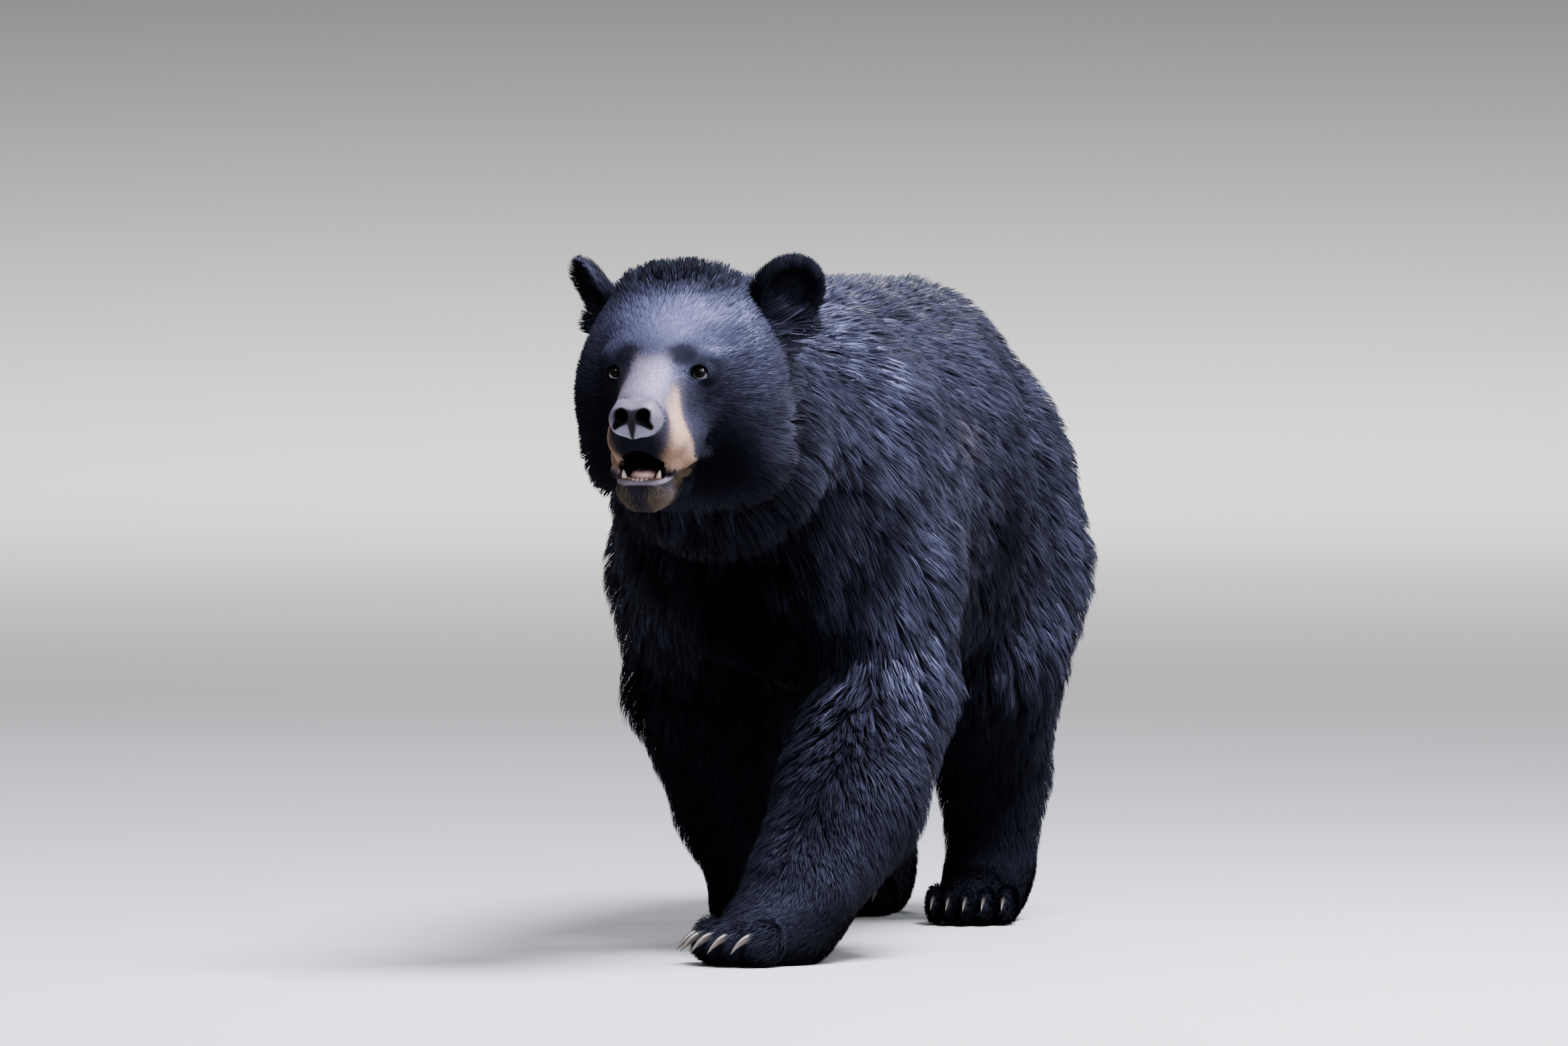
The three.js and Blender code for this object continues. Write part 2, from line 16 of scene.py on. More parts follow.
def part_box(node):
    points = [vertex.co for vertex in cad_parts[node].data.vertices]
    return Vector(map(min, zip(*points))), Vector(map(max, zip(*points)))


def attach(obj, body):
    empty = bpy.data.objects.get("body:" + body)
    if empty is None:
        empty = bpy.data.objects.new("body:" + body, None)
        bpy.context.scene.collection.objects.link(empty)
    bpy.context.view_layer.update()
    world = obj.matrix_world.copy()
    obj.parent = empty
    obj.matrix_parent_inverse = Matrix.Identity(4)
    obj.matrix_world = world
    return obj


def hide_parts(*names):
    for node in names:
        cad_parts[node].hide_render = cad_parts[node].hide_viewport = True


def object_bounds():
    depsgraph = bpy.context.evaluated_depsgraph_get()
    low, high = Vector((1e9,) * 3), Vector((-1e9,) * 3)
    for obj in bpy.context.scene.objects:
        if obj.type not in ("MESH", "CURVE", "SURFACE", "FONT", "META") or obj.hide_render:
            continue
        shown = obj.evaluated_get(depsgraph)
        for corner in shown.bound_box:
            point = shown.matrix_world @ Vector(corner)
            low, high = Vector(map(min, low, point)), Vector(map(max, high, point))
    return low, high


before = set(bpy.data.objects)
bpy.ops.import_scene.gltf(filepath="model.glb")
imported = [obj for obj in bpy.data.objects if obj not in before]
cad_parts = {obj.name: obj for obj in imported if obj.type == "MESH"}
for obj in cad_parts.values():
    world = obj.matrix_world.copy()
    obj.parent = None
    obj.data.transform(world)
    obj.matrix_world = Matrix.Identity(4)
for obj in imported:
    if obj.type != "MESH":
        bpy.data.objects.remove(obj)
cad_box = [list(corner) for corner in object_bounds()]
dice = np.random.default_rng(7)

MM = 0.001
LEGS = ("front_left", "front_right", "hind_left", "hind_right")
SIDES = {"left": 1, "right": -1}
BOTH = (1, -1)


# ---- places taken from the frame


def unit(v):
    v = np.asarray(v, float)
    return v / np.maximum(np.linalg.norm(v, axis=-1, keepdims=True), 1e-12)


def dot(a, b):
    return np.einsum("ij,ij->i", a, b)


def middle(node):
    low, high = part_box(node)
    return (np.array(low) + np.array(high)) / 2 / MM


UP = np.array([0.0, 0.0, 1.0])
EYE = {"across": 54, "ahead": 124, "up": 14, "ball": 11.6, "slit": (10.4, 17, 9.0), "lid": 2.0}
eye_left = middle("eye_left")
eye_right = middle("eye_right")
ACROSS = unit(eye_left - eye_right)
AHEAD = np.cross(ACROSS, UP)
# The middle of the braincase. The head's own frame is u across, v ahead and w up from here.
HEAD = (eye_left + eye_right) / 2 - AHEAD * EYE["ahead"] - UP * EYE["up"]
HEAD_FRAME = np.stack([ACROSS, AHEAD, UP])
# The body's forms are placed from a point on the floor 800 mm behind and 742 mm below the head's middle.
BODY = HEAD - np.array([0, -800, 742])
HEAD_ABOVE = 480  # the height over which points can belong to the head


def to_head(p):
    return (p - HEAD) @ HEAD_FRAME.T


def from_head(h):
    return np.asarray(h, float) @ HEAD_FRAME + HEAD


def at_head(p):
    return p[:, 2] > HEAD_ABOVE


def folded(h, aside=0):
    """How far aside of the middle, ahead and up each point of the head is, on either side alike."""
    return np.abs(h[:, 0] - aside), h[:, 1], h[:, 2]


def eye_centre(side):
    return np.array([side * EYE["across"], EYE["ahead"], EYE["up"]])


# ---- rounded forms as distance fields


def ellipsoid(centre, radii):
    centre = np.array(centre, float)
    radii = np.array(radii, float)

    def field(p):
        scaled = (p - centre) / radii
        size = np.sqrt(dot(scaled, scaled))
        scaled = scaled / radii
        return size * (size - 1) / np.maximum(np.sqrt(dot(scaled, scaled)), 1e-9)

    return field


def bar(start, end):
    """A tapered bar, round at both ends. Each end is x, y, z and radius."""
    a = np.array(start[:3], float)
    d = np.array(end[:3], float) - a

    def field(p):
        q = p - a
        s = np.clip(q @ d / (d @ d), 0, 1)
        rest = q - s[:, None] * d
        return np.sqrt(dot(rest, rest)) - (start[3] + s * (end[3] - start[3]))

    return field


def blend_min(a, b, width):
    """Two forms as one, with a soft crease between them."""
    h = np.maximum(width - np.abs(a - b), 0) / width
    return np.minimum(a, b) - h * h * width / 4


def cut(d, hollow, width):
    """A form less a hollow, with a soft edge."""
    return -blend_min(-d, hollow, width)


def join(first, *rest):
    """Forms joined one by one, each with its own blend width."""

    def field(p):
        d = first(p)
        for width, form in rest:
            d = blend_min(d, form(p), width)
        return d

    return field


def carve(body, *hollows):
    def field(p):
        d = body(p)
        for width, hollow in hollows:
            d = cut(d, hollow(p), width)
        return d

    return field


def smooth(value, low, high):
    """Rises softly from zero at low to one at high."""
    t = np.clip((value - low) / (high - low), 0, 1)
    return t * t * (3 - 2 * t)


def fade(value, low, high):
    """Falls softly from one at low to zero at high."""
    return 1 - smooth(value, low, high)


def toward(value, goal, share):
    return value + (goal - value) * share


def bump(p, centre, reach):
    """One at a point, a twelfth at its reach and hardly anything beyond."""
    q = (p - np.array(centre, float)) / np.array(reach, float)
    return np.exp(-2.5 * dot(q, q))


# ---- the body's forms

trunk = join(
    ellipsoid((0, 352, 580), (190, 272, 297)),  # rump
    (90, ellipsoid((0, 110, 592), (228, 290, 288))),  # belly
    (90, ellipsoid((0, -130, 604), (214, 270, 275))),  # ribs
    (90, ellipsoid((0, -340, 650), (160, 200, 226))),  # withers
    (70, ellipsoid((0, -410, 535), (150, 150, 168))),  # breast
    *[(80, ellipsoid((side * 130, 390, 500), (106, 205, 232))) for side in BOTH],  # haunches
    *[(70, ellipsoid((side * 124, -300, 560), (92, 165, 220))) for side in BOTH],  # shoulders
)

neck = join(
    bar((0, -420, 668, 184), (0, -690, 730, 124)),
    (60, ellipsoid((0, -655, 640), (132, 116, 124))),  # ruff under the throat
)

tail = bar((0, 610, 640, 40), (0, 650, 560, 27))
torso = join(trunk, (90, neck), (24, tail))

# Each foot: its middle on the floor, the way its toes point (outward is positive) and its size.
HIND = {"turn": 4, "length": 222, "width": 120, "height": 92, "claw": 30}
FEET = {
    "front_left": {"x": 44, "y": -578, "turn": -38, "length": 172, "width": 140, "height": 104, "claw": 42},
    "front_right": {"x": -46, "y": -205, "turn": -20, "length": 168, "width": 138, "height": 98, "claw": 42},
    "hind_left": {"x": 100, "y": 380, **HIND},
    "hind_right": {"x": -100, "y": 540, **HIND},
}

# Each leg: joints from the trunk down, as x, y, z and radius.
JOINTS = {
    "front_left": ((134, -312, 500, 104), (136, -330, 350, 102), (122, -440, 205, 98), (84, -530, 100, 78)),
    "front_right": ((-134, -296, 500, 106), (-130, -260, 350, 97), (-88, -200, 190, 86), (-56, -190, 90, 72)),
    "hind_left": ((128, 390, 480, 124), (124, 325, 370, 108), (108, 436, 200, 79), (102, 452, 85, 63)),
    "hind_right": ((-128, 415, 480, 124), (-124, 385, 370, 108), (-108, 572, 205, 79), (-102, 608, 90, 63)),
}
TOES = range(-2, 3)


def side_of(leg):
    return SIDES[leg.split("_")[1]]


def turned(angle):
    c, s = math.cos(angle), math.sin(angle)
    return np.array([[c, -s, 0], [s, c, 0], [0, 0, 1]])


def foot_turn(leg):
    return turned(side_of(leg) * math.radians(FEET[leg]["turn"]))


def to_foot(leg, p):
    foot = FEET[leg]
    return (p - np.array([foot["x"], foot["y"], 0])) @ foot_turn(leg)


def toe_centre(leg, toe):
    foot = FEET[leg]
    across = toe / 2 * foot["width"] * 0.4
    ahead = -foot["length"] * (0.36 - 0.03 * toe * toe)
    return np.array([across, ahead, foot["height"] * 0.3])


def foot_form(leg):
    """A sole and five toes, all in shares of the foot's own size."""
    foot = FEET[leg]
    length, width, height = foot["length"], foot["width"], foot["height"]
    toe_size = (width * 0.135, length * 0.2, height * 0.34)
    sole = ellipsoid((0, length * 0.06, height * 0.36), (width * 0.48, length * 0.46, height * 0.56))
    whole = join(sole, *[(9, ellipsoid(toe_centre(leg, toe), toe_size)) for toe in TOES])
    return lambda p: whole(to_foot(leg, p))


def leg_form(leg):
    joints = JOINTS[leg]
    bars = [bar(a, b) for a, b in zip(joints, joints[1:])]
    return join(bars[0], *[(20, b) for b in bars[1:]], (50, foot_form(leg)))


leg_forms = {leg: leg_form(leg) for leg in LEGS}

# ---- the head's forms, in the head's own frame

SKULL_ASIDE = -6  # the middle of the skull, beside the line between the eyes
JAW_ASIDE = -7  # the lower jaw is pushed a little to the bear's own right, as it chews

skull = join(
    ellipsoid((SKULL_ASIDE, 6, 14), (108, 120, 132)),  # braincase
    (50, ellipsoid((0, 58, 28), (78, 80, 74))),  # forehead
    *[(30, ellipsoid((SKULL_ASIDE + side * 44, -4, 60), (61, 80, 74))) for side in BOTH],  # temples
    *[(44, ellipsoid((SKULL_ASIDE + side * 70, 10, -20), (65, 86, 92))) for side in BOTH],  # cheeks
    *[(40, ellipsoid((SKULL_ASIDE + side * 54, -16, -92), (74, 74, 64))) for side in BOTH],  # jowls
    *[(22, ellipsoid((side * 47, 116, 32), (30, 22, 17))) for side in BOTH],  # brows
)

upper_muzzle = join(
    bar((0, 110, 2, 50), (0, 200, -35, 36)),
    *[(26, bar((side * 25, 126, -62, 33), (side * 19, 190, -68, 29))) for side in BOTH],  # lips
    *[(14, bar((side * 46, 98, -86, 11), (side * 40, 150, -86, 14))) for side in BOTH],  # their corners
    (10, ellipsoid((0, 214, -46), (35, 20, 30))),  # base of the nose
)

# The folds of the cheeks that join the lips.
folds = [bar((JAW_ASIDE + side * 34, 118, -105, 13), (JAW_ASIDE + side * 30, 180, -107, 9)) for side in BOTH]

lower_muzzle = join(
    bar((JAW_ASIDE * 0.5, 84, -118, 35), (JAW_ASIDE, 166, -130, 30)),
    *[(14, ellipsoid((JAW_ASIDE + side * 18, 168, -124), (16, 26, 17))) for side in BOTH],  # lower lip
    *[(12, fold) for fold in folds],
)

# The lines between the lips, from the cheeks to the canines.
creases = [bar((side * 56, 102, -94, 3), (side * 33 + JAW_ASIDE, 168, -103, 3)) for side in BOTH]
whole_head = join(skull, (38, upper_muzzle), (26, lower_muzzle))

EAR = {"across": 104, "ahead": -34, "up": 74, "length": 100, "width": 50, "thickness": 15, "lean": 30}
EAR_FACING = {1: 42, -1: 66}  # degrees by which each ear's cup is turned outward


def ear_turn(side):
    """The axes of an ear's own frame, in which it is upright and its cup faces ahead."""
    lean = math.radians(side * EAR["lean"])
    c, s = math.cos(lean), math.sin(lean)
    leant = np.array([[c, 0, s], [0, 1, 0], [-s, 0, c]])
    return leant @ turned(-side * math.radians(EAR_FACING[side]))


def to_ear(side, h):
    return (h - np.array([SKULL_ASIDE + side * EAR["across"], EAR["ahead"], EAR["up"]])) @ ear_turn(side)


def ear_form(side, thin):
    """An ear, thinned on every side by so many millimetres."""
    length, width, thickness = EAR["length"], EAR["width"], EAR["thickness"]
    shell = ellipsoid((0, 0, length * 0.42), (width - thin, thickness * 1.5 - thin, length * 0.52 - thin))
    root = bar((0, -4, -18, 30 - thin), (0, -2, length * 0.26, 22 - thin))
    cup = ellipsoid((0, thickness * 1.9, length * 0.44), (width * 0.84, thickness * 2.1, length * 0.42))
    whole = carve(join(shell, (18, root)), (5, cup))
    return lambda h: whole(to_ear(side, h))


# ---- the skin's field

FAR = 500.0  # a distance beyond every blend
EAR_HAIR = 5  # the depth of the hair on the ears
# How deep the coat is, that is how far the skin lies under its tips.
DEPTH = {"body": 27, "more_on_breast": 5, "leg": 15, "foot": 8, "head": 9, "muzzle": 2.4, "lids": 2.2}


def from_eyes(h):
    """The distance to the middle of the nearer eye."""
    u, v, w = folded(h)
    return np.sqrt((u - EYE["across"]) ** 2 + (v - EYE["ahead"]) ** 2 + (w - EYE["up"]) ** 2)


def coat_depth(p):
    b = p - BODY
    h = to_head(p)
    depth = DEPTH["body"] + DEPTH["more_on_breast"] * bump(b, (0, -560, 640), (200, 160, 200))
    depth = toward(depth, DEPTH["leg"], fade(b[:, 2], 230, 400))
    depth = toward(depth, DEPTH["foot"], fade(b[:, 2], 70, 180))
    high = smooth(b[:, 2], HEAD_ABOVE, HEAD_ABOVE + 40)
    depth = toward(depth, DEPTH["head"], smooth(h[:, 1], -70, 60) * high)
    depth = toward(depth, DEPTH["muzzle"], smooth(h[:, 1], 80, 150) * high)
    return toward(depth, DEPTH["lids"], fade(from_eyes(h), 14, 34) * high)


def mouth_hollow(h):
    """The open mouth: a wedge between the lips, closed aside by the cheeks, and the hollow behind."""
    corner, corner_up = 108, -97
    front, front_up = 256, -134
    roof_up, arch_up, half_width = -98, 15, 28
    u, v, w = h[:, 0] - JAW_ASIDE * 0.7, h[:, 1], h[:, 2]
    arch = arch_up * smooth(v, corner, corner + 24) * np.maximum(0, 1 - (u / 31) ** 2)
    roof = w - roof_up - arch
    ground = corner_up + (v - corner) * (front_up - corner_up) / (front - corner) - w
    beside = np.abs(u) - half_width - 30 * smooth(v, 188, 208)
    wedge = np.maximum(np.maximum(roof, ground), np.maximum(corner - v, beside))
    inside = ellipsoid((JAW_ASIDE, 142, -101), (26, 50, 17))(h)
    return np.minimum(wedge, inside)


def eye_opening(h):
    """Negative in the openings between the lids."""
    nearest = np.full(len(h), FAR)
    for side in BOTH:
        slit = ellipsoid((side * 0.6, 14, -0.3), EYE["slit"])
        nearest = np.minimum(nearest, slit(h - eye_centre(side)))
    return nearest


def nostrils(h):
    """Negative in the nostrils: a round hole on each side, drawn out into a slit."""
    nearest = np.full(len(h), FAR)
    for side in BOTH:
        hole = bar((side * 12.8, 251, -40.5, 8.6), (side * 17, 222, -34, 6))
        slit = bar((side * 15, 250, -44, 6.2), (side * 24, 242, -53, 1.6))
        nearest = np.minimum(nearest, blend_min(hole(h), slit(h), 3))
    return nearest


def skin_of_head(h, depth):
    """The head under its hair, with its lids, nostrils and lips."""
    d = whole_head(h) + depth
    for side in BOTH:
        lids = np.linalg.norm(h - eye_centre(side), axis=1) - EYE["ball"] - EYE["lid"]
        d = blend_min(d, lids, 7)
    d = cut(d, eye_opening(h), 1.6)
    d = cut(d, nostrils(h) - 1.5, 2)
    for crease in creases:
        d = cut(d, crease(h), 5)
    return cut(d, mouth_hollow(h), 4)


def within(mask, p, form):
    """A form worked out only where the mask holds."""
    d = np.full(len(p), FAR)
    if mask.any():
        d[mask] = form(p[mask])
    return d


def skin(p):
    """Negative inside the bear's skin, which is flat where it meets the floor."""
    b = p - BODY
    h = to_head(p)
    depth = coat_depth(p)
    d = within(b[:, 1] > -850, b, torso) + depth
    for leg in LEGS:
        beside = (b[:, 2] < 680) & (b[:, 0] * side_of(leg) > -90)
        d = blend_min(d, within(beside, b, leg_forms[leg]) + depth, 46)
    head = (h[:, 1] > -190) & (b[:, 2] > HEAD_ABOVE)
    of_head = np.full(len(p), FAR)
    of_head[head] = skin_of_head(h[head], depth[head])
    d = blend_min(d, of_head, 80)
    for side in BOTH:
        beside = head & (h[:, 2] > 10) & (h[:, 0] * side > 40)
        d = blend_min(d, within(beside, h, ear_form(side, EAR_HAIR)), 14)
    d = cut(d, within(head & (h[:, 1] > 60), h, mouth_hollow), 4)
    return np.maximum(d, -b[:, 2] + 0.2)


# ---- surfaces of fields


def slope_of(field, p, reach=0.4):
    """The field's slope, from four samples at the corners of a tetrahedron."""
    total = np.zeros_like(p)
    for corner in ((1, -1, -1), (-1, -1, 1), (-1, 1, -1), (1, 1, 1)):
        way = np.array(corner, float)
        total += way * field(p + way * reach)[:, None]
    return total / (4 * reach)


def settle(field, p, limit, rounds=3):
    """Slides points onto the field's zero along its slope, by no more than the limit."""
    start = p
    for _ in range(rounds):
        slope = slope_of(field, p)
        p = p - slope * (field(p) / (dot(slope, slope) + 1e-6))[:, None]
        moved = p - start
        far = np.linalg.norm(moved, axis=1, keepdims=True)
        p = start + moved * np.minimum(1, limit / np.maximum(far, 1e-9))
    return p


def grid_values(field, low, counts, step, coarse=4):
    """The field on a grid, worked out closely only where a coarse grid finds the surface near."""
    shape = [-(-(n - 1) // coarse) + 1 for n in counts]
    rough = np.stack(np.meshgrid(*[np.arange(n) for n in shape], indexing="ij"), -1).reshape(-1, 3)
    values = field(low + rough * step * coarse).reshape(shape)
    for axis in range(3):
        values = np.repeat(values, coarse, axis)
    half = coarse // 2
    values = values[half : half + counts[0], half : half + counts[1], half : half + counts[2]]
    values = np.pad(values, [(0, n - m) for n, m in zip(counts, values.shape)], mode="edge")
    near = np.argwhere(np.abs(values) < step * coarse * 2)
    values[tuple(near.T)] = field(low + near * step)
    return values


def crossings(values, low, step, axis):
    """Where a grid's edges along an axis cross the surface: the cells, the points, and whether outward."""
    start = np.delete(values, -1, axis)
    end = np.delete(values, 0, axis)
    index = np.argwhere((start < 0) != (end < 0))
    first, last = start[tuple(index.T)], end[tuple(index.T)]
    point = low + step * (index + (first / (first - last))[:, None] * np.eye(3)[axis])
    return index, point, first < 0


def surface(field, low, high, step):
    """The closed surface where the field is zero: its points and its four-sided faces."""
    low = np.array(low, float)
    counts = np.ceil((np.array(high, float) - low) / step).astype(int) + 1
    values = grid_values(field, low, counts, step)
    cells = counts - 1
    cell_id = lambda index: np.ravel_multi_index(index.T, cells)
    sums = np.zeros((np.prod(cells), 3))
    hits = np.zeros(np.prod(cells))
    quads = []
    for axis in range(3):
        index, point, outward = crossings(values, low, step, axis)
        b, c = (np.eye(3, dtype=int)[(axis + n) % 3] for n in (1, 2))
        ring = np.stack([cell_id(index), cell_id(index - b), cell_id(index - b - c), cell_id(index - c)], 1)
        for corner in ring.T:
            hits += np.bincount(corner, minlength=len(hits))
            for n in range(3):
                sums[:, n] += np.bincount(corner, point[:, n], minlength=len(hits))
        quads.append(np.where(outward[:, None], ring, ring[:, ::-1]))
    used = np.flatnonzero(hits)
    points = sums[used] / hits[used, None]
    renumber = np.zeros(len(hits), int)
    renumber[used] = np.arange(len(used))
    return settle(field, points, step * 0.6), renumber[np.concatenate(quads)]


# ---- meshes


def circle(sides):
    return np.linspace(0, 2 * math.pi, sides + 1)[:-1]


def tube(rows, sides):
    """Four-sided faces between rows of points that each go round once."""
    faces = []
    for row in range(rows - 1):
        for n in range(sides):
            here, there = row * sides + n, row * sides + (n + 1) % sides
            faces.append((here, there, there + sides, here + sides))
    return np.array(faces)


def write(items, what, values, kind=np.float32):
    items.foreach_set(what, values.astype(kind).ravel())


def read(items, what, columns, kind=np.float32):
    values = np.empty(len(items) * columns, kind)
    items.foreach_get(what, values)
    return values.reshape(-1, columns)


def points_of(mesh):
    return read(mesh.vertices, "co", 3).astype(float) / MM


def add_object(name, data):
    thing = bpy.data.objects.new(name, data)
    bpy.context.scene.collection.objects.link(thing)
    return thing


def mesh_of(name, points, faces):
    """A smooth-shaded object from points in millimetres and faces with equally many corners."""
    mesh = bpy.data.meshes.new(name)
    mesh.vertices.add(len(points))
    write(mesh.vertices, "co", points * MM)
    mesh.loops.add(faces.size)
    write(mesh.loops, "vertex_index", faces, np.int32)
    mesh.polygons.add(len(faces))
    write(mesh.polygons, "loop_start", np.arange(0, faces.size, faces.shape[1]), np.int32)
    write(mesh.polygons, "use_smooth", np.ones(len(faces)), bool)
    mesh.update(calc_edges=True)
    mesh.validate()
    return add_object(name, mesh)


def paint(mesh, colours, gloss=1.0):
    """Gives each point its colour, with its gloss as the fourth value."""
    layer = mesh.color_attributes.new("tint", "FLOAT_COLOR", "POINT")
    write(layer.data, "color", np.column_stack([colours, np.ones(len(colours)) * gloss]))


# ---- the skin

SKIN_STEP = 8.4  # the size of the skin's faces, which are halved where they are refined
SKIN_MARGIN = 12  # how far round the solids the skin is looked for


def refine(mesh, near):
    """Splits the mesh finer where its points pass the test near(points)."""
    keep = near(points_of(mesh))
    work = bmesh.new()
    work.from_mesh(mesh)
    work.verts.ensure_lookup_table()
    edges = [e for e in work.edges if keep[e.verts[0].index] and keep[e.verts[1].index]]
    bmesh.ops.subdivide_edges(work, edges=edges, cuts=1, use_grid_fill=True)
    work.to_mesh(mesh)
    work.free()


def around_head(p, ahead_of=-60):
    return (to_head(p)[:, 1] > ahead_of) & (p[:, 2] > 520)


def make_skin():
    low, high = (np.array(corner) / MM for corner in cad_box)
    points, faces = surface(skin, low - SKIN_MARGIN, high + SKIN_MARGIN, SKIN_STEP)
    thing = mesh_of("skin", points, faces)
    refine(thing.data, around_head)
    refine(thing.data, lambda p: around_head(p, 88))
    refine(thing.data, lambda p: from_eyes(to_head(p)) < 24)
    points = points_of(thing.data)
    near_head = around_head(points)
    points[near_head] = settle(skin, points[near_head], 4, 4)
    write(thing.data.vertices, "co", points * MM)
    thing.data.update()
    return thing


SKYWARD = unit((0.3, -0.1, 1.0))


def open_to_sky(points, normals):
    """How open points of the skin lie to the sky, from 0 under the body to 1 on the back."""
    share = normals @ SKYWARD
    for reach in (25, 60, 130, 260):
        share = np.minimum(share, skin(points + SKYWARD * reach) / reach)
    return smooth(share, -0.42, 0.52)


def unwrap(thing):
    """Lays the skin flat without overlaps, in the map on which each tuft of the coat also has its patch."""
    layer = thing.data.uv_layers.new(name="OFBake")
    thing.data.uv_layers.active = layer
    bpy.context.view_layer.objects.active = thing
    thing.select_set(True)
    bpy.ops.object.mode_set(mode="EDIT")
    bpy.ops.mesh.select_all(action="SELECT")
    bpy.ops.uv.smart_project(angle_limit=math.radians(66), island_margin=0.002)
    bpy.ops.object.mode_set(mode="OBJECT")
    thing.select_set(False)


# ---- markings, the same on skin and coat

BLACK = np.array([0.0060, 0.0064, 0.0095])
# Painted sheen: black hair drawn lighter and bluer, as if it threw back the sky
PAINTED_SHEEN = np.array([0.142, 0.144, 0.262])
WORN = np.array([0.080, 0.062, 0.074])
MAUVE = np.array([0.140, 0.112, 0.150])
TAN = np.array([0.50, 0.31, 0.195])
STRAW = np.array([0.17, 0.125, 0.078])
DUSK = np.array([0.034, 0.029, 0.034])
LIP = np.array([0.36, 0.31, 0.38])
GUM = np.array([0.36, 0.17, 0.17])
# Painted shade: the inside of the mouth, nearly black
MOUTH_SHADE = np.array([0.010, 0.003, 0.004])

FOREHEAD_SHEEN = ((0, 92, 64), (88, 80, 48))  # where the painted bluish sheen is: its middle and reach
WORN_PATCH = ((208, -165, 680), (60, 75, 34))  # brownish hair behind the left shoulder
LIP_WIDTH = 5.5  # the bare edge of the lower lip
LID_WIDTH = 1.2  # the bare rims of the eyes


def evenly(colour, many):
    return np.repeat(np.array([colour]), many, 0)


def tint(colour, mark, share):
    return toward(colour, mark, np.clip(share, 0, 1)[:, None])


def spot(u, w, across, up, reach):
    """One at a place on the face, and zero from its reach outward."""
    away = np.sqrt(((u - across) / reach[0]) ** 2 + ((w - up) / reach[1]) ** 2)
    return fade(away, 0.45, 1.0)


def crest_share(h):
    """One on the dark crest of upright hair between the ears."""
    u, v, w = folded(h, SKULL_ASIDE)
    return smooth(w, 98, 122) * smooth(v, -120, -70) * fade(u, 70, 105)


def cheek_share(h):
    """A third on the cheeks, which are duller than the forehead."""
    u, v, w = folded(h)
    return 0.33 * smooth(u, 44, 74) * fade(w, 20, 60) * smooth(v, -20, 20)


def brow_patch(h):
    """One on the black patch above the inner corner of each eye."""
    u, _, w = folded(h)
    return spot(u, w, 34, 35, (25, 18))


def bristly_chin(h):
    """One on the bristly sides of the chin."""
    u, v, w = folded(h, JAW_ASIDE)
    return spot(u, w, 25, -142, (32, 26)) * smooth(v, 115, 130)


def upper_markings(h, colour, face):
    """The pale bridge of the muzzle, the tan strip down each side of it and the dark upper lip."""
    u, v, w = folded(h)
    colour = tint(colour, DUSK, smooth(v, 148, 168) * face * fade(w, 0, 26))
    half_width = 19 + 12 * smooth(v, 140, 215)
    bridge = smooth(v, 116, 134) * fade(w, 20, 42) * smooth(w, -40, -26)
    bridge = bridge * fade(u - half_width, -5, 8)
    colour = tint(colour, MAUVE, bridge * face)
    colour = tint(colour, MAUVE, 0.45 * spot(v, w, 190, -30, (30, 30)) * face)
    inner_edge = 30 + 0.1 * (w + 35)
    rear_edge = 173 - 14 * smooth(-w, 50, 76) - 28 * smooth(-w, 84, 98)
    strip = smooth(v - rear_edge, -6, 7) * smooth(u - inner_edge, -4, 7) * fade(v, 203, 216)
    strip = strip * fade(w, -8, 12) * smooth(w, -108, -100)
    colour = tint(colour, TAN, strip * face)
    under_nose = smooth(v, 190, 206) * fade(u, 18, 30) * fade(w, -66, -58)
    return tint(colour, BLACK * 1.5, under_nose * smooth(w, -104, -98) * face)


def lower_markings(h, colour, face):
    """The dark patch below the lower lip, and the bristly straw-coloured fur of the chin and jaw."""
    u, v, w = folded(h, JAW_ASIDE)
    chin = fade(w, -116, -104) * smooth(v, 130, 150) * face
    colour = tint(colour, DUSK * 0.9, chin)
    colour = tint(colour, STRAW, 1.3 * chin * spot(u, w, 25, -144, (19, 22)))
    colour = tint(colour, STRAW * 0.7, spot(v, w, 140, -114, (34, 15)) * smooth(u, 22, 30) * face)
    from_crease = np.minimum(creases[0](h), creases[1](h))
    return tint(colour, BLACK, fade(from_crease, 1, 4) * face)


def markings(p):
    """The colour of skin and hair at points of the skin."""
    h = to_head(p)
    face = smooth(h[:, 1], 40, 80) * at_head(p)
    colour = evenly(BLACK, len(p))
    # painted sheen on the forehead, where the hair would throw back the sky
    colour = tint(colour, PAINTED_SHEEN, bump(h, *FOREHEAD_SHEEN) * at_head(p))
    colour = tint(colour, BLACK, crest_share(h) * at_head(p))
    colour = tint(colour, WORN, 0.8 * bump(p - BODY, *WORN_PATCH))
    colour = tint(colour, BLACK, brow_patch(h) * face)
    colour = upper_markings(h, colour, face)
    colour = lower_markings(h, colour, face)
    return tint(colour, BLACK, fade(from_eyes(h), 15, 21) * face)


def bare_markings(p):
    """The skin's colour: the markings, with the lower lip, the gums, and painted shade, nearly black, inside
    the mouth.
    """
    h = to_head(p)
    u, v, w = folded(h, JAW_ASIDE)
    face = (v > 80) * at_head(p)
    mouth = mouth_hollow(h)
    lip = fade(mouth, LIP_WIDTH - 0.5, LIP_WIDTH + 2) * fade(w, -104, -100)
    colour = tint(markings(p), LIP, lip * face)
    wet_skin = (mouth < 1.5) * face
    # painted shade inside the mouth
    colour = tint(colour, MOUTH_SHADE, wet_skin)
    between_canines = fade(u, 24, 29)
    return tint(colour, GUM, wet_skin * between_canines * (w < -106) * smooth(v, 168, 176))
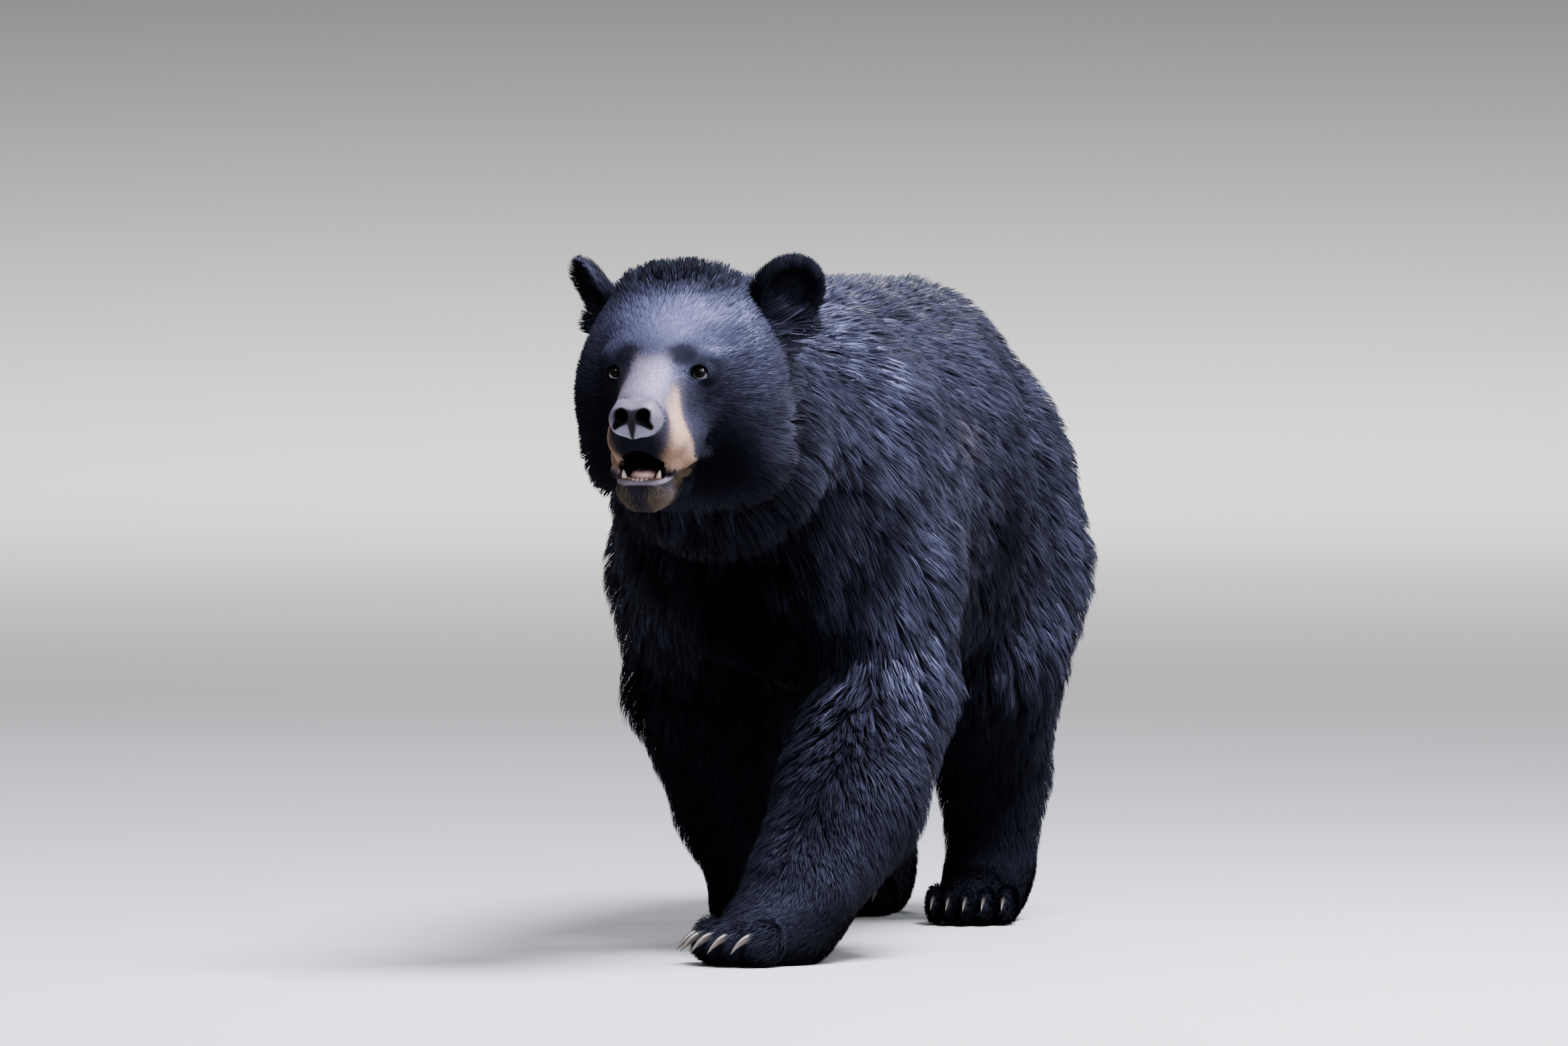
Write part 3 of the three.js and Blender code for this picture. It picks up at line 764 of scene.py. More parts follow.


# Where the coat is dull, with its colour darkened by painted shade, and where it shines: the middle of each
# place, on the left, and its reach.
DULL_AND_SHADED_PLACES = {
    "breast": ((0, -520, 450), (150, 230, 260)),
    "shins": ((110, -551, 208), (130, 150, 200)),
    "creases of the elbows": ((220, -450, 250), (60, 90, 50)),
    "under the ruff": ((150, -500, 505), (80, 90, 70)),
    "behind the shoulders": ((224, 50, 540), (130, 280, 200)),
}
GLOSSY_PLACES = {
    "shoulders": ((165, -510, 725), (90, 150, 100)),
    "points of the shoulders": ((215, -390, 580), (80, 80, 90)),
    "upper arms": ((170, -440, 460), (100, 130, 150)),
}


def on_left(p):
    """Points of both sides of the body, as if all lay on the bear's left."""
    q = p - BODY
    q[:, 0] = np.abs(q[:, 0])
    return q


def dull_and_shaded_share(p):
    """One in the middle of a dull place of the body, where painted shade darkens the colour too."""
    return np.max([bump(on_left(p), *place) for place in DULL_AND_SHADED_PLACES.values()], axis=0)


def painted_shade(p, sky):
    """Painted shade on skin and hair: how much darker they are under the body, where the sky is hidden, and
    in the dull places than on the back.
    """
    return (0.35 + 0.65 * sky) * (1 - 0.6 * dull_and_shaded_share(p))


def ear_share(side, h):
    """One on an ear, falling to zero on the head round it."""
    near = (h[:, 2] > 10) & (h[:, 0] * side > 40)
    return fade(within(near, h, ear_form(side, 0)), 2, 12) * smooth(to_ear(side, h)[:, 2], 8, 30)


def gloss_of(p, sky):
    """The hair's gloss at its roots: little low down, in dull places, on crest and brows and in the ears."""
    h = to_head(p)
    u, v, w = folded(h)
    ridge = 0.7 * spot(u, w, 60, 56, (34, 18))
    brows = np.maximum(0.8 * brow_patch(h), ridge) * (v > 60)
    crown = 0.8 * smooth(w, 76, 118) * fade(u, 70, 110) * smooth(v, -140, -80)
    mouth_corners = 0.85 * spot(v, w, 95, -105, (85, 62))
    on_head = np.max([crest_share(h), crown, brows, cheek_share(h), mouth_corners], axis=0) * at_head(p)
    low_down = 0.75 * fade(p[:, 2], 180, 520)
    in_ears = [0.8 * ear_share(side, h) * (to_ear(side, h)[:, 1] > 0) for side in BOTH]
    dull = np.max([on_head, low_down, dull_and_shaded_share(p), *in_ears], axis=0)
    shine = sum(0.4 * bump(on_left(p), *place) for place in GLOSSY_PLACES.values())
    return (0.08 + 0.92 * sky + shine) * (1 - 0.9 * dull)


# ---- the coat


def lie_of_coat(p, normals):
    """Which way the hair runs at points of the skin, as unit vectors along it."""
    b = p - BODY
    h = to_head(p)
    down = 0.15 + 0.9 * np.abs(normals[:, 0]) + 0.7 * np.maximum(0, -normals[:, 1])
    flow = np.stack([0.2 * normals[:, 0], np.ones(len(p)), -down], 1)
    on_leg = fade(b[:, 2], 340, 560)
    flow = toward(flow, np.array([0, 0.25, -1.1]), on_leg[:, None])
    for leg in LEGS:
        foot = to_foot(leg, b)
        size = FEET[leg]
        near = (np.abs(foot[:, 0]) < size["width"] * 0.7) & (np.abs(foot[:, 1]) < size["length"] * 0.8)
        share = fade(b[:, 2], 50, 130) * near
        ahead = np.array([0.0, -1.0, 0.0]) @ foot_turn(leg).T + np.array([0, 0, -0.45])
        flow = toward(flow, ahead, share[:, None])
    from_nose = unit(h - np.array([0, 262, -48])) + np.array([0, -0.35, -0.12])
    share = fade(b[:, 1], -770, -640) * (b[:, 2] > 440)
    flow = toward(flow, from_nose @ HEAD_FRAME, share[:, None])
    for side in BOTH:
        up = np.stack([to_ear(side, h)[:, 0] * 0.016, np.zeros(len(p)), np.ones(len(p))], 1)
        flow = toward(flow, up @ ear_turn(side).T @ HEAD_FRAME, ear_share(side, h)[:, None])
    return unit(flow - normals * dot(flow, normals)[:, None])


def hair_sizes(p):
    """Length, rise and width of the tufts at points of the skin, in millimetres."""
    h = to_head(p)
    u, v, w = folded(h)
    depth = coat_depth(p)
    for side in BOTH:
        depth = toward(depth, 6.5, ear_share(side, h))
    crest = crest_share(h) * at_head(p)
    ruff = smooth(u, 60, 100) * smooth(-w, 10, 70) * fade(v, 20, 60) * smooth(v, -150, -90) * at_head(p)
    fringe = spot(v, w, 139, -91, (20, 10)) * smooth(u, 30, 40) * at_head(p)
    bristles = bristly_chin(h) * at_head(p)
    length = 1.85 * depth + 1 + 4 * crest + 12 * ruff + 6 * fringe + 5 * bristles
    rise = depth * (1 - 0.4 * smooth(v, 105, 150) * at_head(p)) + 15 * crest + 7 * ruff + 2.5 * bristles
    return length, rise, 0.33 * np.sqrt(depth)


def on_bare_skin(h, clear):
    """True within a distance of the eyes, the nose pad, the mouth and the bare lower lip."""
    pad = ellipsoid((0, 230, -44), (32, 24, 25))
    mouth = mouth_hollow(h) - LIP_WIDTH * smooth(-h[:, 2], 100, 110)
    eyes = np.minimum(from_eyes(h) - EYE["ball"] - 1, eye_opening(h))
    return (eyes - LID_WIDTH < clear) | (pad(h) < clear) | (mouth < clear)


def haired(p):
    """One where hair grows, and zero on bare skin and on the soles."""
    h = to_head(p)
    bare = on_bare_skin(h, 1.2) & at_head(p) & (h[:, 1] > 80)
    return (~bare & (p[:, 2] > 5)).astype(float)


# How a tuft is drawn, from root to tip: where each of its crossbars is, and how wide.
TUFTS = {"long": ((0.0, 0.8), (0.38, 1.0), (0.72, 0.62)), "short": ((0.0, 0.9), (0.45, 0.95))}
LONG = 12  # millimetres of rise from which a tuft is a long one
ROOTED = 0.6  # millimetres by which a tuft starts inside the skin
LOWEST = 0.6  # millimetres over the floor that every tuft keeps
PATCH = 0.003  # the size of a tuft's patch on the map
FUZZ = 2.2  # millimetres by which the hairs of two markings run into each other
LOCKS = ((13, 0.55), (34, 0.35))  # small and large locks: their spacing and their pull on the tips


def tuft_faces(kind):
    """Two triangles between each crossbar and the next, and one at the tip."""
    bars = len(TUFTS[kind])
    faces = []
    for n in range(bars - 1):
        faces += [(2 * n, 2 * n + 1, 2 * n + 3), (2 * n, 2 * n + 3, 2 * n + 2)]
    return np.array(faces + [(2 * bars - 2, 2 * bars - 1, 2 * bars)])


def tuft_patch(kind):
    rows = []
    for at, width in TUFTS[kind]:
        rows += [(0.5 - width / 2, at), (0.5 + width / 2, at)]
    return (np.array(rows + [(0.5, 1.0)]) - 0.5) * PATCH


def scatter(mesh, sky, triangles):
    """Roots, closer where the hair is short, with the skin's normal, place on the map and sky at each."""
    mesh.calc_loop_triangles()
    total = len(mesh.loop_triangles)
    corners = read(mesh.loop_triangles, "vertices", 3, np.int32)
    loops = read(mesh.loop_triangles, "loops", 3, np.int32)
    points = points_of(mesh)
    normals = read(mesh.vertices, "normal", 3).astype(float)
    uvs = read(mesh.uv_layers["OFBake"].data, "uv", 2)

    a, b, c = (points[corners[:, n]] for n in range(3))
    centre = (a + b + c) / 3
    area = np.linalg.norm(np.cross(b - a, c - a), axis=1) / 2
    length, rise, width = hair_sizes(centre)
    expected = area * haired(centre) / (length * width)
    each = np.where(rise > LONG, len(tuft_faces("long")), len(tuft_faces("short")))
    expected *= triangles / (expected * each).sum()
    times = np.floor(expected + dice.random(total)).astype(int)
    face = np.repeat(np.arange(total), times)
    r1, r2 = np.sqrt(dice.random(len(face))), dice.random(len(face))
    weights = np.stack([1 - r1, r1 * (1 - r2), r1 * r2], 1)
    mix = lambda values, index: np.einsum("ij,ijk->ik", weights, values[index[face]])
    sky_at_roots = mix(sky[:, None], corners)[:, 0]
    return mix(points, corners), unit(mix(normals, corners)), mix(uvs, loops), sky_at_roots


def nearest_leader(roots, spacing):
    """For each root, the leading root of the lock that it belongs to."""
    share = min(1.0, 25.0 / (spacing * spacing))
    leaders = np.flatnonzero(dice.random(len(roots)) < share)
    tree = KDTree(len(leaders))
    for n, at in enumerate(roots[leaders]):
        tree.insert(at, n)
    tree.balance()
    return leaders[[tree.find(root)[1] for root in roots]]


def vary(many, low, high):
    """A column of random factors."""
    return dice.uniform(low, high, many)[:, None]


def draw_into_locks(roots, tips, shaggy):
    """The tips, drawn together lock by lock, and each tuft's painted light: uneven from lock to lock, and
    weaker at the edge of its lock as painted shade between the locks.
    """
    lit = np.ones(len(roots))
    for spacing, pull in LOCKS:
        leader = nearest_leader(roots, spacing)
        away = np.linalg.norm(roots[leader] - roots, axis=1) / spacing
        share = pull * (away < 1) * (0.25 + 0.75 * shaggy)
        tips = toward(tips, tips[leader], share[:, None])
        own = dice.uniform(0.6, 1.4, len(roots))[leader]
        lit = lit * toward(1, own * (1.25 - 0.7 * np.minimum(away, 1)), shaggy)
    return tips, lit


def hair_colours(roots, rise, light):
    """The markings with soft borders, light and dark tufts at random among them, and each tuft's painted
    light and shade.
    """
    many = len(roots)
    fuzz = FUZZ * (1 + 2 * bristly_chin(to_head(roots)))
    colour = markings(roots + dice.normal(0, 1, (many, 3)) * fuzz[:, None])
    uneven = 0.3 + 0.7 * smooth(rise, 1.5, 8)[:, None]
    return colour * (1 + (vary(many, 0.6, 1.5) - 1) * uneven) * light[:, None]


def grow_coat(mesh, sky, triangles):
    """All tufts: their roots, spines and half widths, and what colour and place on the map each has."""
    roots, normals, uv, sky = scatter(mesh, sky, triangles)
    flow = lie_of_coat(roots, normals)
    length, rise, width = hair_sizes(roots)
    many = len(roots)
    upright = 1 - 0.7 * crest_share(to_head(roots)) * at_head(roots)
    way = unit(flow + np.cross(normals, flow) * vary(many, -0.2, 0.2)) * upright[:, None]
    tips = roots + way * (length[:, None] * vary(many, 0.75, 1.15))
    tips = tips + normals * (rise[:, None] * vary(many, 0.7, 1.1))
    shaggy = smooth(rise, 7, 24)
    tips, lit = draw_into_locks(roots, tips, shaggy)
    along = tips - roots
    up = dot(along, normals)[:, None] * normals
    flat = along - up
    across = unit(np.cross(normals, flat))
    roll = vary(many, -1, 1) * (0.3 + 0.35 * shaggy)[:, None]
    across = across * np.cos(roll) + normals * np.sin(roll)
    return {
        "roots": roots - normals * ROOTED,
        "flat": flat,
        "up": up,
        "half": across * (width[:, None] * vary(many, 0.7, 1.3)) / 2,
        "long": rise > LONG,
        "uv": uv,
        "shade": hair_colours(roots, rise, lit * painted_shade(roots, sky)),
        "gloss": gloss_of(roots, sky) * np.clip(0.8 * lit * vary(many, 0.4, 1.6)[:, 0], 0.1, 1.2),
    }


def tuft_points(coat, chosen, kind):
    rows = []
    for at, width in TUFTS[kind]:
        middle_of_bar = coat["roots"] + coat["flat"] * at + coat["up"] * (1 - (1 - at) ** 2)
        rows += [middle_of_bar - coat["half"] * width, middle_of_bar + coat["half"] * width]
    rows.append(coat["roots"] + coat["flat"] + coat["up"])
    points = np.stack(rows, 1)[chosen]
    points[:, :, 2] = np.maximum(points[:, :, 2], LOWEST)
    return points


def clear_of_bare_skin(points):
    """Which tufts keep off the bare skin with all of their points."""
    clear = np.ones(len(points), bool)
    near = (to_head(points[:, 0])[:, 1] > 60) & at_head(points[:, 0])
    for n in range(points.shape[1]):
        clear[near] &= ~on_bare_skin(to_head(points[near, n]), 0.3)
    return clear


def coat_piece(name, kind, points, uv, shade, gloss):
    many, corners = points.shape[:2]
    faces = tuft_faces(kind)[None] + corners * np.arange(many)[:, None, None]
    faces = faces.reshape(-1, 3)
    thing = mesh_of(name, points.reshape(-1, 3), faces)
    place = (uv[:, None, :] + tuft_patch(kind)[None]).reshape(-1, 2)
    layer = thing.data.uv_layers.new(name="OFBake")
    write(layer.data, "uv", place[faces.ravel()])
    paint(thing.data, np.repeat(shade, corners, 0), np.repeat(gloss, corners))
    return thing


COAT_TRIANGLES = 1_400_000
PIECE_LIMIT = 190_000  # triangles in one piece of the coat


def make_coat(skin_mesh, sky):
    """The tufts of each kind, in pieces from the head backward."""
    coat = grow_coat(skin_mesh, sky, COAT_TRIANGLES)
    pieces = []
    for kind, chosen in (("long", coat["long"]), ("short", ~coat["long"])):
        points = tuft_points(coat, chosen, kind)
        clear = clear_of_bare_skin(points)
        points = points[clear]
        uv, shade, gloss = (coat[key][chosen][clear] for key in ("uv", "shade", "gloss"))
        order = np.argsort(points[:, 0, 1])
        share = PIECE_LIMIT // len(tuft_faces(kind))
        for n, part in enumerate(np.array_split(order, -(-len(order) // share))):
            name = f"coat_{kind}_{n + 1}"
            pieces.append(coat_piece(name, kind, points[part], uv[part], shade[part], gloss[part]))
    return pieces


# ---- eyes, nose, tongue, teeth and claws


def shell_of(name, field, low, high, step, colours, gloss=lambda h: 1.0):
    """A closed piece from a field in the head's own frame."""
    points, faces = surface(field, low, high, step)
    thing = mesh_of(name, from_head(points), faces[:, ::-1])
    paint(thing.data, colours(points), gloss(points))
    return thing


def nose_field(h):
    """The bare pad: two lobes under a flat top, with the nostrils and a groove between them."""
    pad = join(
        ellipsoid((0, 221, -44), (32, 23, 22)),
        *[(9, ellipsoid((side * 13, 228, -42), (20, 18, 20))) for side in BOTH],
        (7, bar((-18, 224, -27, 8), (18, 224, -27, 8))),
        *[(5, bar((side * 3, 237, -62, 5), (side * 20, 233, -53, 7))) for side in BOTH],
    )
    groove = bar((0, 251, -44, 1.6), (0, 243, -70, 3.2))
    return carve(pad, (2.5, groove), (2.5, nostrils))(h)


def nose_dark(h):
    """One on the dark middle of the nose, round the nostrils and in the groove between them."""
    u, _, w = folded(h)
    half_groove = 2 + 0.22 * (w + 66)
    between = fade(u - half_groove, -1.5, 1.5) * fade(w, -38, -31)
    top = -27 - 0.012 * (u - 12) ** 2
    round_nostrils = fade(u, 22, 27) * fade(w - top, -5, 0) * smooth(w + 0.25 * u, -50, -46)
    return np.maximum(np.maximum(between, round_nostrils), fade(nostrils(h), 1.5, 3.5))


def nose_colours(h):
    """A mauve-grey pad, black round the nostrils and dark between them, with painted shade, nearly black,
    inside the nostrils.
    """
    u, _, w = folded(h)
    colour = evenly((0.088, 0.080, 0.108), len(h))
    colour = tint(colour, (0.120, 0.112, 0.165), spot(u, w, 13, -60, (16, 9)))
    colour = tint(colour, (0.009, 0.008, 0.010), nose_dark(h))
    # painted shade inside the nostrils
    return tint(colour, (0.0015, 0.0015, 0.002), fade(nostrils(h), 0.2, 1.6))


def nose_gloss(h):
    return smooth(nostrils(h), 0.2, 1.5) * (1 - 0.92 * nose_dark(h))


def tongue_field(h):
    body = join(ellipsoid((0, 148, -113), (19, 34, 10)), (8, ellipsoid((0, 168, -114), (15, 15, 7))))
    groove = bar((0, 118, -100, 1.6), (0, 180, -105, 1.2))
    return carve(body, (5, groove))(h - np.array([JAW_ASIDE, 0, 0]))


def tongue_colours(h):
    rear = fade(h[:, 1], 120, 165)
    return tint(evenly((0.56, 0.33, 0.31), len(h)), (0.25, 0.09, 0.09), rear)


EYE_SIDES = 48  # points in each ring of an eyeball
EYE_OUTWARD = 14  # degrees by which each eye looks outward
CORNEA = {"angle": 36, "rise": 1.2}


def eyeball():
    """A ball with a raised cornea ahead: its points, and their angles from the pupil and round it."""
    polar = np.radians(np.concatenate([np.linspace(0, 40, 21), np.linspace(44, 150, 18)]))
    around = circle(EYE_SIDES)
    cornea = np.clip(1 - (polar / np.radians(CORNEA["angle"])) ** 2, 0, 1)
    reach = EYE["ball"] + CORNEA["rise"] * cornea
    ring = np.stack([np.cos(around), np.zeros(EYE_SIDES), np.sin(around)], 1)
    rows = [r * (math.sin(a) * ring + math.cos(a) * np.array([0, 1, 0])) for a, r in zip(polar, reach)]
    return np.concatenate(rows), np.repeat(polar, EYE_SIDES), np.tile(around, len(polar))


def eye_colours(angle, around, rim):
    """A black pupil, a dark brown iris with spokes, and a pale rim along the lower lid."""
    spokes = 0.75 + 0.25 * np.sin(around * 23) * np.sin(around * 7)
    iris = smooth(angle, 16, 22) * fade(angle, 34, 40)
    colour = evenly((0.012, 0.008, 0.007), len(angle)) * (1 - iris[:, None])
    colour = colour + np.array([0.007, 0.004, 0.003]) * (iris * spokes)[:, None]
    colour = colour * smooth(angle, 15, 21)[:, None] + 0.0012
    return tint(colour, (0.30, 0.28, 0.33), rim)


def make_eye(side_name):
    """An eyeball turned a little outward, duller in its lower half, where the lid shades it."""
    side = SIDES[side_name]
    points, polar, around = eyeball()
    turn = turned(-side * math.radians(EYE_OUTWARD))
    placed = points @ turn.T + eye_centre(side)
    faces = tube(len(points) // EYE_SIDES, EYE_SIDES)
    thing = mesh_of(f"{side_name}_eyeball", from_head(placed), faces[:, ::-1])
    below = -points[:, 2] / EYE["ball"]
    rim = smooth(eye_opening(placed), -2.6, -1.4) * smooth(below, 0.0, 0.35)
    paint(thing.data, eye_colours(np.degrees(polar), around, rim), 1 - 0.95 * smooth(below, -0.3, 0.1))
    return thing


HORN_ROWS = 11
HORN_SIDES = 12


def horn(start, control, end, radius, taper, flat=1.0):
    """A tapering curved spike: points, triangles and how far along each point is."""
    t = np.linspace(0, 1, HORN_ROWS)[:, None]
    start, control, end = (np.array(x, float) for x in (start, control, end))
    spine = (1 - t) ** 2 * start + 2 * t * (1 - t) * control + t**2 * end
    ahead = unit(2 * (1 - t) * (control - start) + 2 * t * (end - control))
    across = unit(np.cross(ahead, UP + ahead[:, ::-1] * 1e-3))
    up = np.cross(across, ahead)
    around = circle(HORN_SIDES)
    size = radius * (1 - t**taper) ** 0.9
    ring = np.cos(around)[None, :, None] * across[:, None] * flat
    ring = ring + np.sin(around)[None, :, None] * up[:, None]
    points = (spine[:, None] + ring * size[:, None]).reshape(-1, 3)
    quads = tube(HORN_ROWS, HORN_SIDES)
    faces = np.stack([quads[:, [0, 1, 2]], quads[:, [0, 2, 3]]], 1).reshape(-1, 3)
    return points, faces, np.repeat(t[:, 0], HORN_SIDES)


def joined_horns(name, horns, root_colour, tip_colour):
    points = np.concatenate([p for p, _, _ in horns])
    counts = np.cumsum([0] + [len(p) for p, _, _ in horns])
    faces = np.concatenate([f + start for (_, f, _), start in zip(horns, counts)])
    thing = mesh_of(name, points, faces)
    along = np.concatenate([t for _, _, t in horns])
    paint(thing.data, tint(evenly(root_colour, len(along)), tip_colour, along))
    return thing


def make_claws(leg):
    """The five claws of a foot, flattened from side to side, as one piece."""
    foot = FEET[leg]
    claw = foot["claw"]
    horns = []
    for toe in TOES:
        x, y, z = toe_centre(leg, toe) + np.array([0, -foot["length"] * 0.135, 8])
        control = (x, y - claw * 0.42, z + 1)
        end = (x, y - claw * 0.85, z - claw * 0.5)
        points, faces, along = horn((x, y + 5, z), control, end, claw * 0.16, 1.6, 0.68)
        horns.append((points @ foot_turn(leg).T + np.array([foot["x"], foot["y"], 0]) + BODY, faces, along))
    return joined_horns(f"{leg}_claws", horns, (0.020, 0.017, 0.015), (0.085, 0.070, 0.055))


def tooth(start, control, end, radius, taper):
    """A tooth drawn about the middle of the jaw and moved aside with it."""
    points, faces, along = horn(start, control, end, radius, taper)
    return from_head(points + np.array([JAW_ASIDE, 0, 0])), faces, along


def canine(side):
    return tooth((side * 20.5, 176, -126), (side * 22.5, 181, -112), (side * 24, 178, -105.5), 4.6, 1.8)


def incisor(n):
    ahead = 188 - n * n * 0.9
    return tooth((n * 5.6, ahead, -128), (n * 5.7, ahead + 1, -121), (n * 5.8, ahead, -115.5), 3.1, 9)


def make_teeth():
    """The lower canines, and the six dull incisors between them, as two pieces."""
    canines = [canine(side) for side in BOTH]
    incisors = [incisor(n) for n in (-2.5, -1.5, -0.5, 0.5, 1.5, 2.5)]
    return [
        joined_horns("canines", canines, (0.42, 0.31, 0.25), (0.62, 0.55, 0.48)),
        joined_horns("incisors", incisors, (0.26, 0.15, 0.12), (0.34, 0.25, 0.19)),
    ]


# ---- materials

SHEEN = (0.55, 0.58, 1.0, 1)  # the colour of the light that black hair throws back


def new_material(name):
    material = bpy.data.materials.new(name)
    material.use_nodes = True
    return material, material.node_tree, material.node_tree.nodes["Principled BSDF"]


def add_node(tree, kind, values):
    """A new shader node with some of its inputs set."""
    node = tree.nodes.new(kind)
    for socket, value in values.items():
        node.inputs[socket].default_value = value
    return node


def multiply(tree, source, factor, target):
    """Passes a value on to a socket, times a factor."""
    node = add_node(tree, "ShaderNodeMath", {1: factor})
    node.operation = "MULTIPLY"
    tree.links.new(source, node.inputs[0])
    tree.links.new(node.outputs["Value"], target)


def remap(tree, source, low, high, target):
    """Passes a value between zero and one on to a socket, as one between low and high."""
    node = add_node(tree, "ShaderNodeMapRange", {"To Min": low, "To Max": high})
    tree.links.new(source, node.inputs["Value"])
    tree.links.new(node.outputs["Result"], target)


def tinted(name, roughness, specular, grain, depth):
    """A material in the mesh's own tint and gloss, with a grain of so many per metre and so deep."""
    material, tree, shader = new_material(name)
    colour = tree.nodes.new("ShaderNodeAttribute")
    colour.attribute_name = "tint"
    place = tree.nodes.new("ShaderNodeTexCoord")
    noise = add_node(tree, "ShaderNodeTexNoise", {"Scale": grain, "Detail": 3})
    link = tree.links.new
    link(place.outputs["Object"], noise.inputs["Vector"])
    gloss = colour.outputs["Alpha"]
    multiply(tree, gloss, specular, shader.inputs["Specular IOR Level"])
    remap(tree, gloss, roughness + (1 - roughness) * 0.6, roughness, shader.inputs["Roughness"])
    mix = tree.nodes.new("ShaderNodeVectorMath")
    mix.operation = "SCALE"
    remap(tree, noise.outputs["Fac"], 0.7, 1.3, mix.inputs["Scale"])
    link(colour.outputs["Color"], mix.inputs[0])
    link(mix.outputs["Vector"], shader.inputs["Base Color"])
    if depth:
        relief = add_node(tree, "ShaderNodeBump", {"Distance": depth})
        link(noise.outputs["Fac"], relief.inputs["Height"])
        link(relief.outputs["Normal"], shader.inputs["Normal"])
    return material, shader


def with_sheen(material_and_shader):
    material, shader = material_and_shader
    shader.inputs["Specular Tint"].default_value = SHEEN
    return material


def wet(material_and_shader, coat, roughness):
    """A wet film over a material, as strong at each point as its gloss."""
    material, shader = material_and_shader
    tree = material.node_tree
    multiply(tree, tree.nodes["Attribute"].outputs["Alpha"], coat, shader.inputs["Coat Weight"])
    shader.inputs["Coat Roughness"].default_value = roughness
    return material


# ---- the bear


def place_piece(thing, material, slot, *nodes):
    thing.data.materials.append(material)
    if nodes:
        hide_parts(*nodes)
    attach(thing, "root")


def make_flesh():
    """The skin in place of all nodes of flesh, and the coat on it."""
    hard = ("claw", "eye", "nose", "tongue")
    flesh = [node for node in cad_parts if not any(word in node for word in hard)]
    bear_skin = make_skin()
    unwrap(bear_skin)
    places = points_of(bear_skin.data)
    sky = open_to_sky(places, unit(slope_of(skin, places)))
    # The skin's colour carries the same painted shade as the hair.
    paint(bear_skin.data, bare_markings(places) * painted_shade(places, sky)[:, None], gloss_of(places, sky))
    place_piece(bear_skin, with_sheen(tinted("skin", 0.5, 0.3, 420, 0.0006)), "coat", *flesh)
    coat_look = with_sheen(tinted("coat", 0.5, 1.0, 260, 0))
    for piece in make_coat(bear_skin.data, sky):
        place_piece(piece, coat_look, "coat")


def make_hard_parts():
    """A finer piece for the nose, the tongue, the eyes and the claws, and the teeth."""
    nose = shell_of("nose_pad", nose_field, (-38, 190, -80), (38, 258, -12), 1.15, nose_colours, nose_gloss)
    place_piece(nose, wet(tinted("nose", 0.5, 0.3, 900, 0.0005), 0.15, 0.4), "nose", "nose")
    tongue = shell_of("tongue_top", tongue_field, (-26, 106, -130), (26, 192, -96), 2.0, tongue_colours)
    place_piece(tongue, wet(tinted("tongue", 0.4, 0.5, 700, 0.0004), 0.6, 0.15), "tongue", "tongue")
    eye_look = wet(tinted("eye", 0.15, 0.3, 400, 0), 0.7, 0.02)
    for side in SIDES:
        place_piece(make_eye(side), eye_look, "eyes", f"eye_{side}")
    tooth_look = wet(tinted("teeth", 0.3, 0.5, 500, 0.0001), 0.5, 0.1)
    for piece in make_teeth():
        place_piece(piece, tooth_look, "jaw")
    claw_look, _ = tinted("claws", 0.33, 0.5, 350, 0.0003)
    for leg in LEGS:
        claws = [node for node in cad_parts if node.startswith(f"{leg}_claw_")]
        place_piece(make_claws(leg), claw_look, "claws", *claws)


# ---- stage, light and camera

FLOOR = {"flat_to": 20, "edge": 90, "rise": 9.0, "sides": 96}


def make_stage():
    """A flat pale floor that rises gently in the distance all round, so that no edge of it shows."""
    radii = np.concatenate([[0.0, 6.0, 12.0, FLOOR["flat_to"]], np.linspace(24, FLOOR["edge"], 34)])
    heights = FLOOR["rise"] * smooth(radii, FLOOR["flat_to"], FLOOR["edge"]) ** 1.5
    around = circle(FLOOR["sides"])
    ring = np.stack([np.cos(around), np.sin(around), np.zeros(len(around))], 1)
    points = np.concatenate([ring * max(r, 0.01) + [0, 0, z] for r, z in zip(radii, heights)])
    floor = mesh_of("floor", points / MM, tube(len(radii), FLOOR["sides"])[:, [0, 3, 2, 1]])
    material, tree, shader = new_material("floor")
    grain = add_node(tree, "ShaderNodeTexNoise", {"Scale": 1.2})
    ramp = tree.nodes.new("ShaderNodeValToRGB")
    for element, shade in zip(ramp.color_ramp.elements, (0.56, 0.60)):
        element.color = (shade, shade, shade - 0.01, 1)
    tree.links.new(grain.outputs["Fac"], ramp.inputs["Fac"])
    tree.links.new(ramp.outputs["Color"], shader.inputs["Base Color"])
    shader.inputs["Roughness"].default_value = 0.9
    floor.data.materials.append(material)


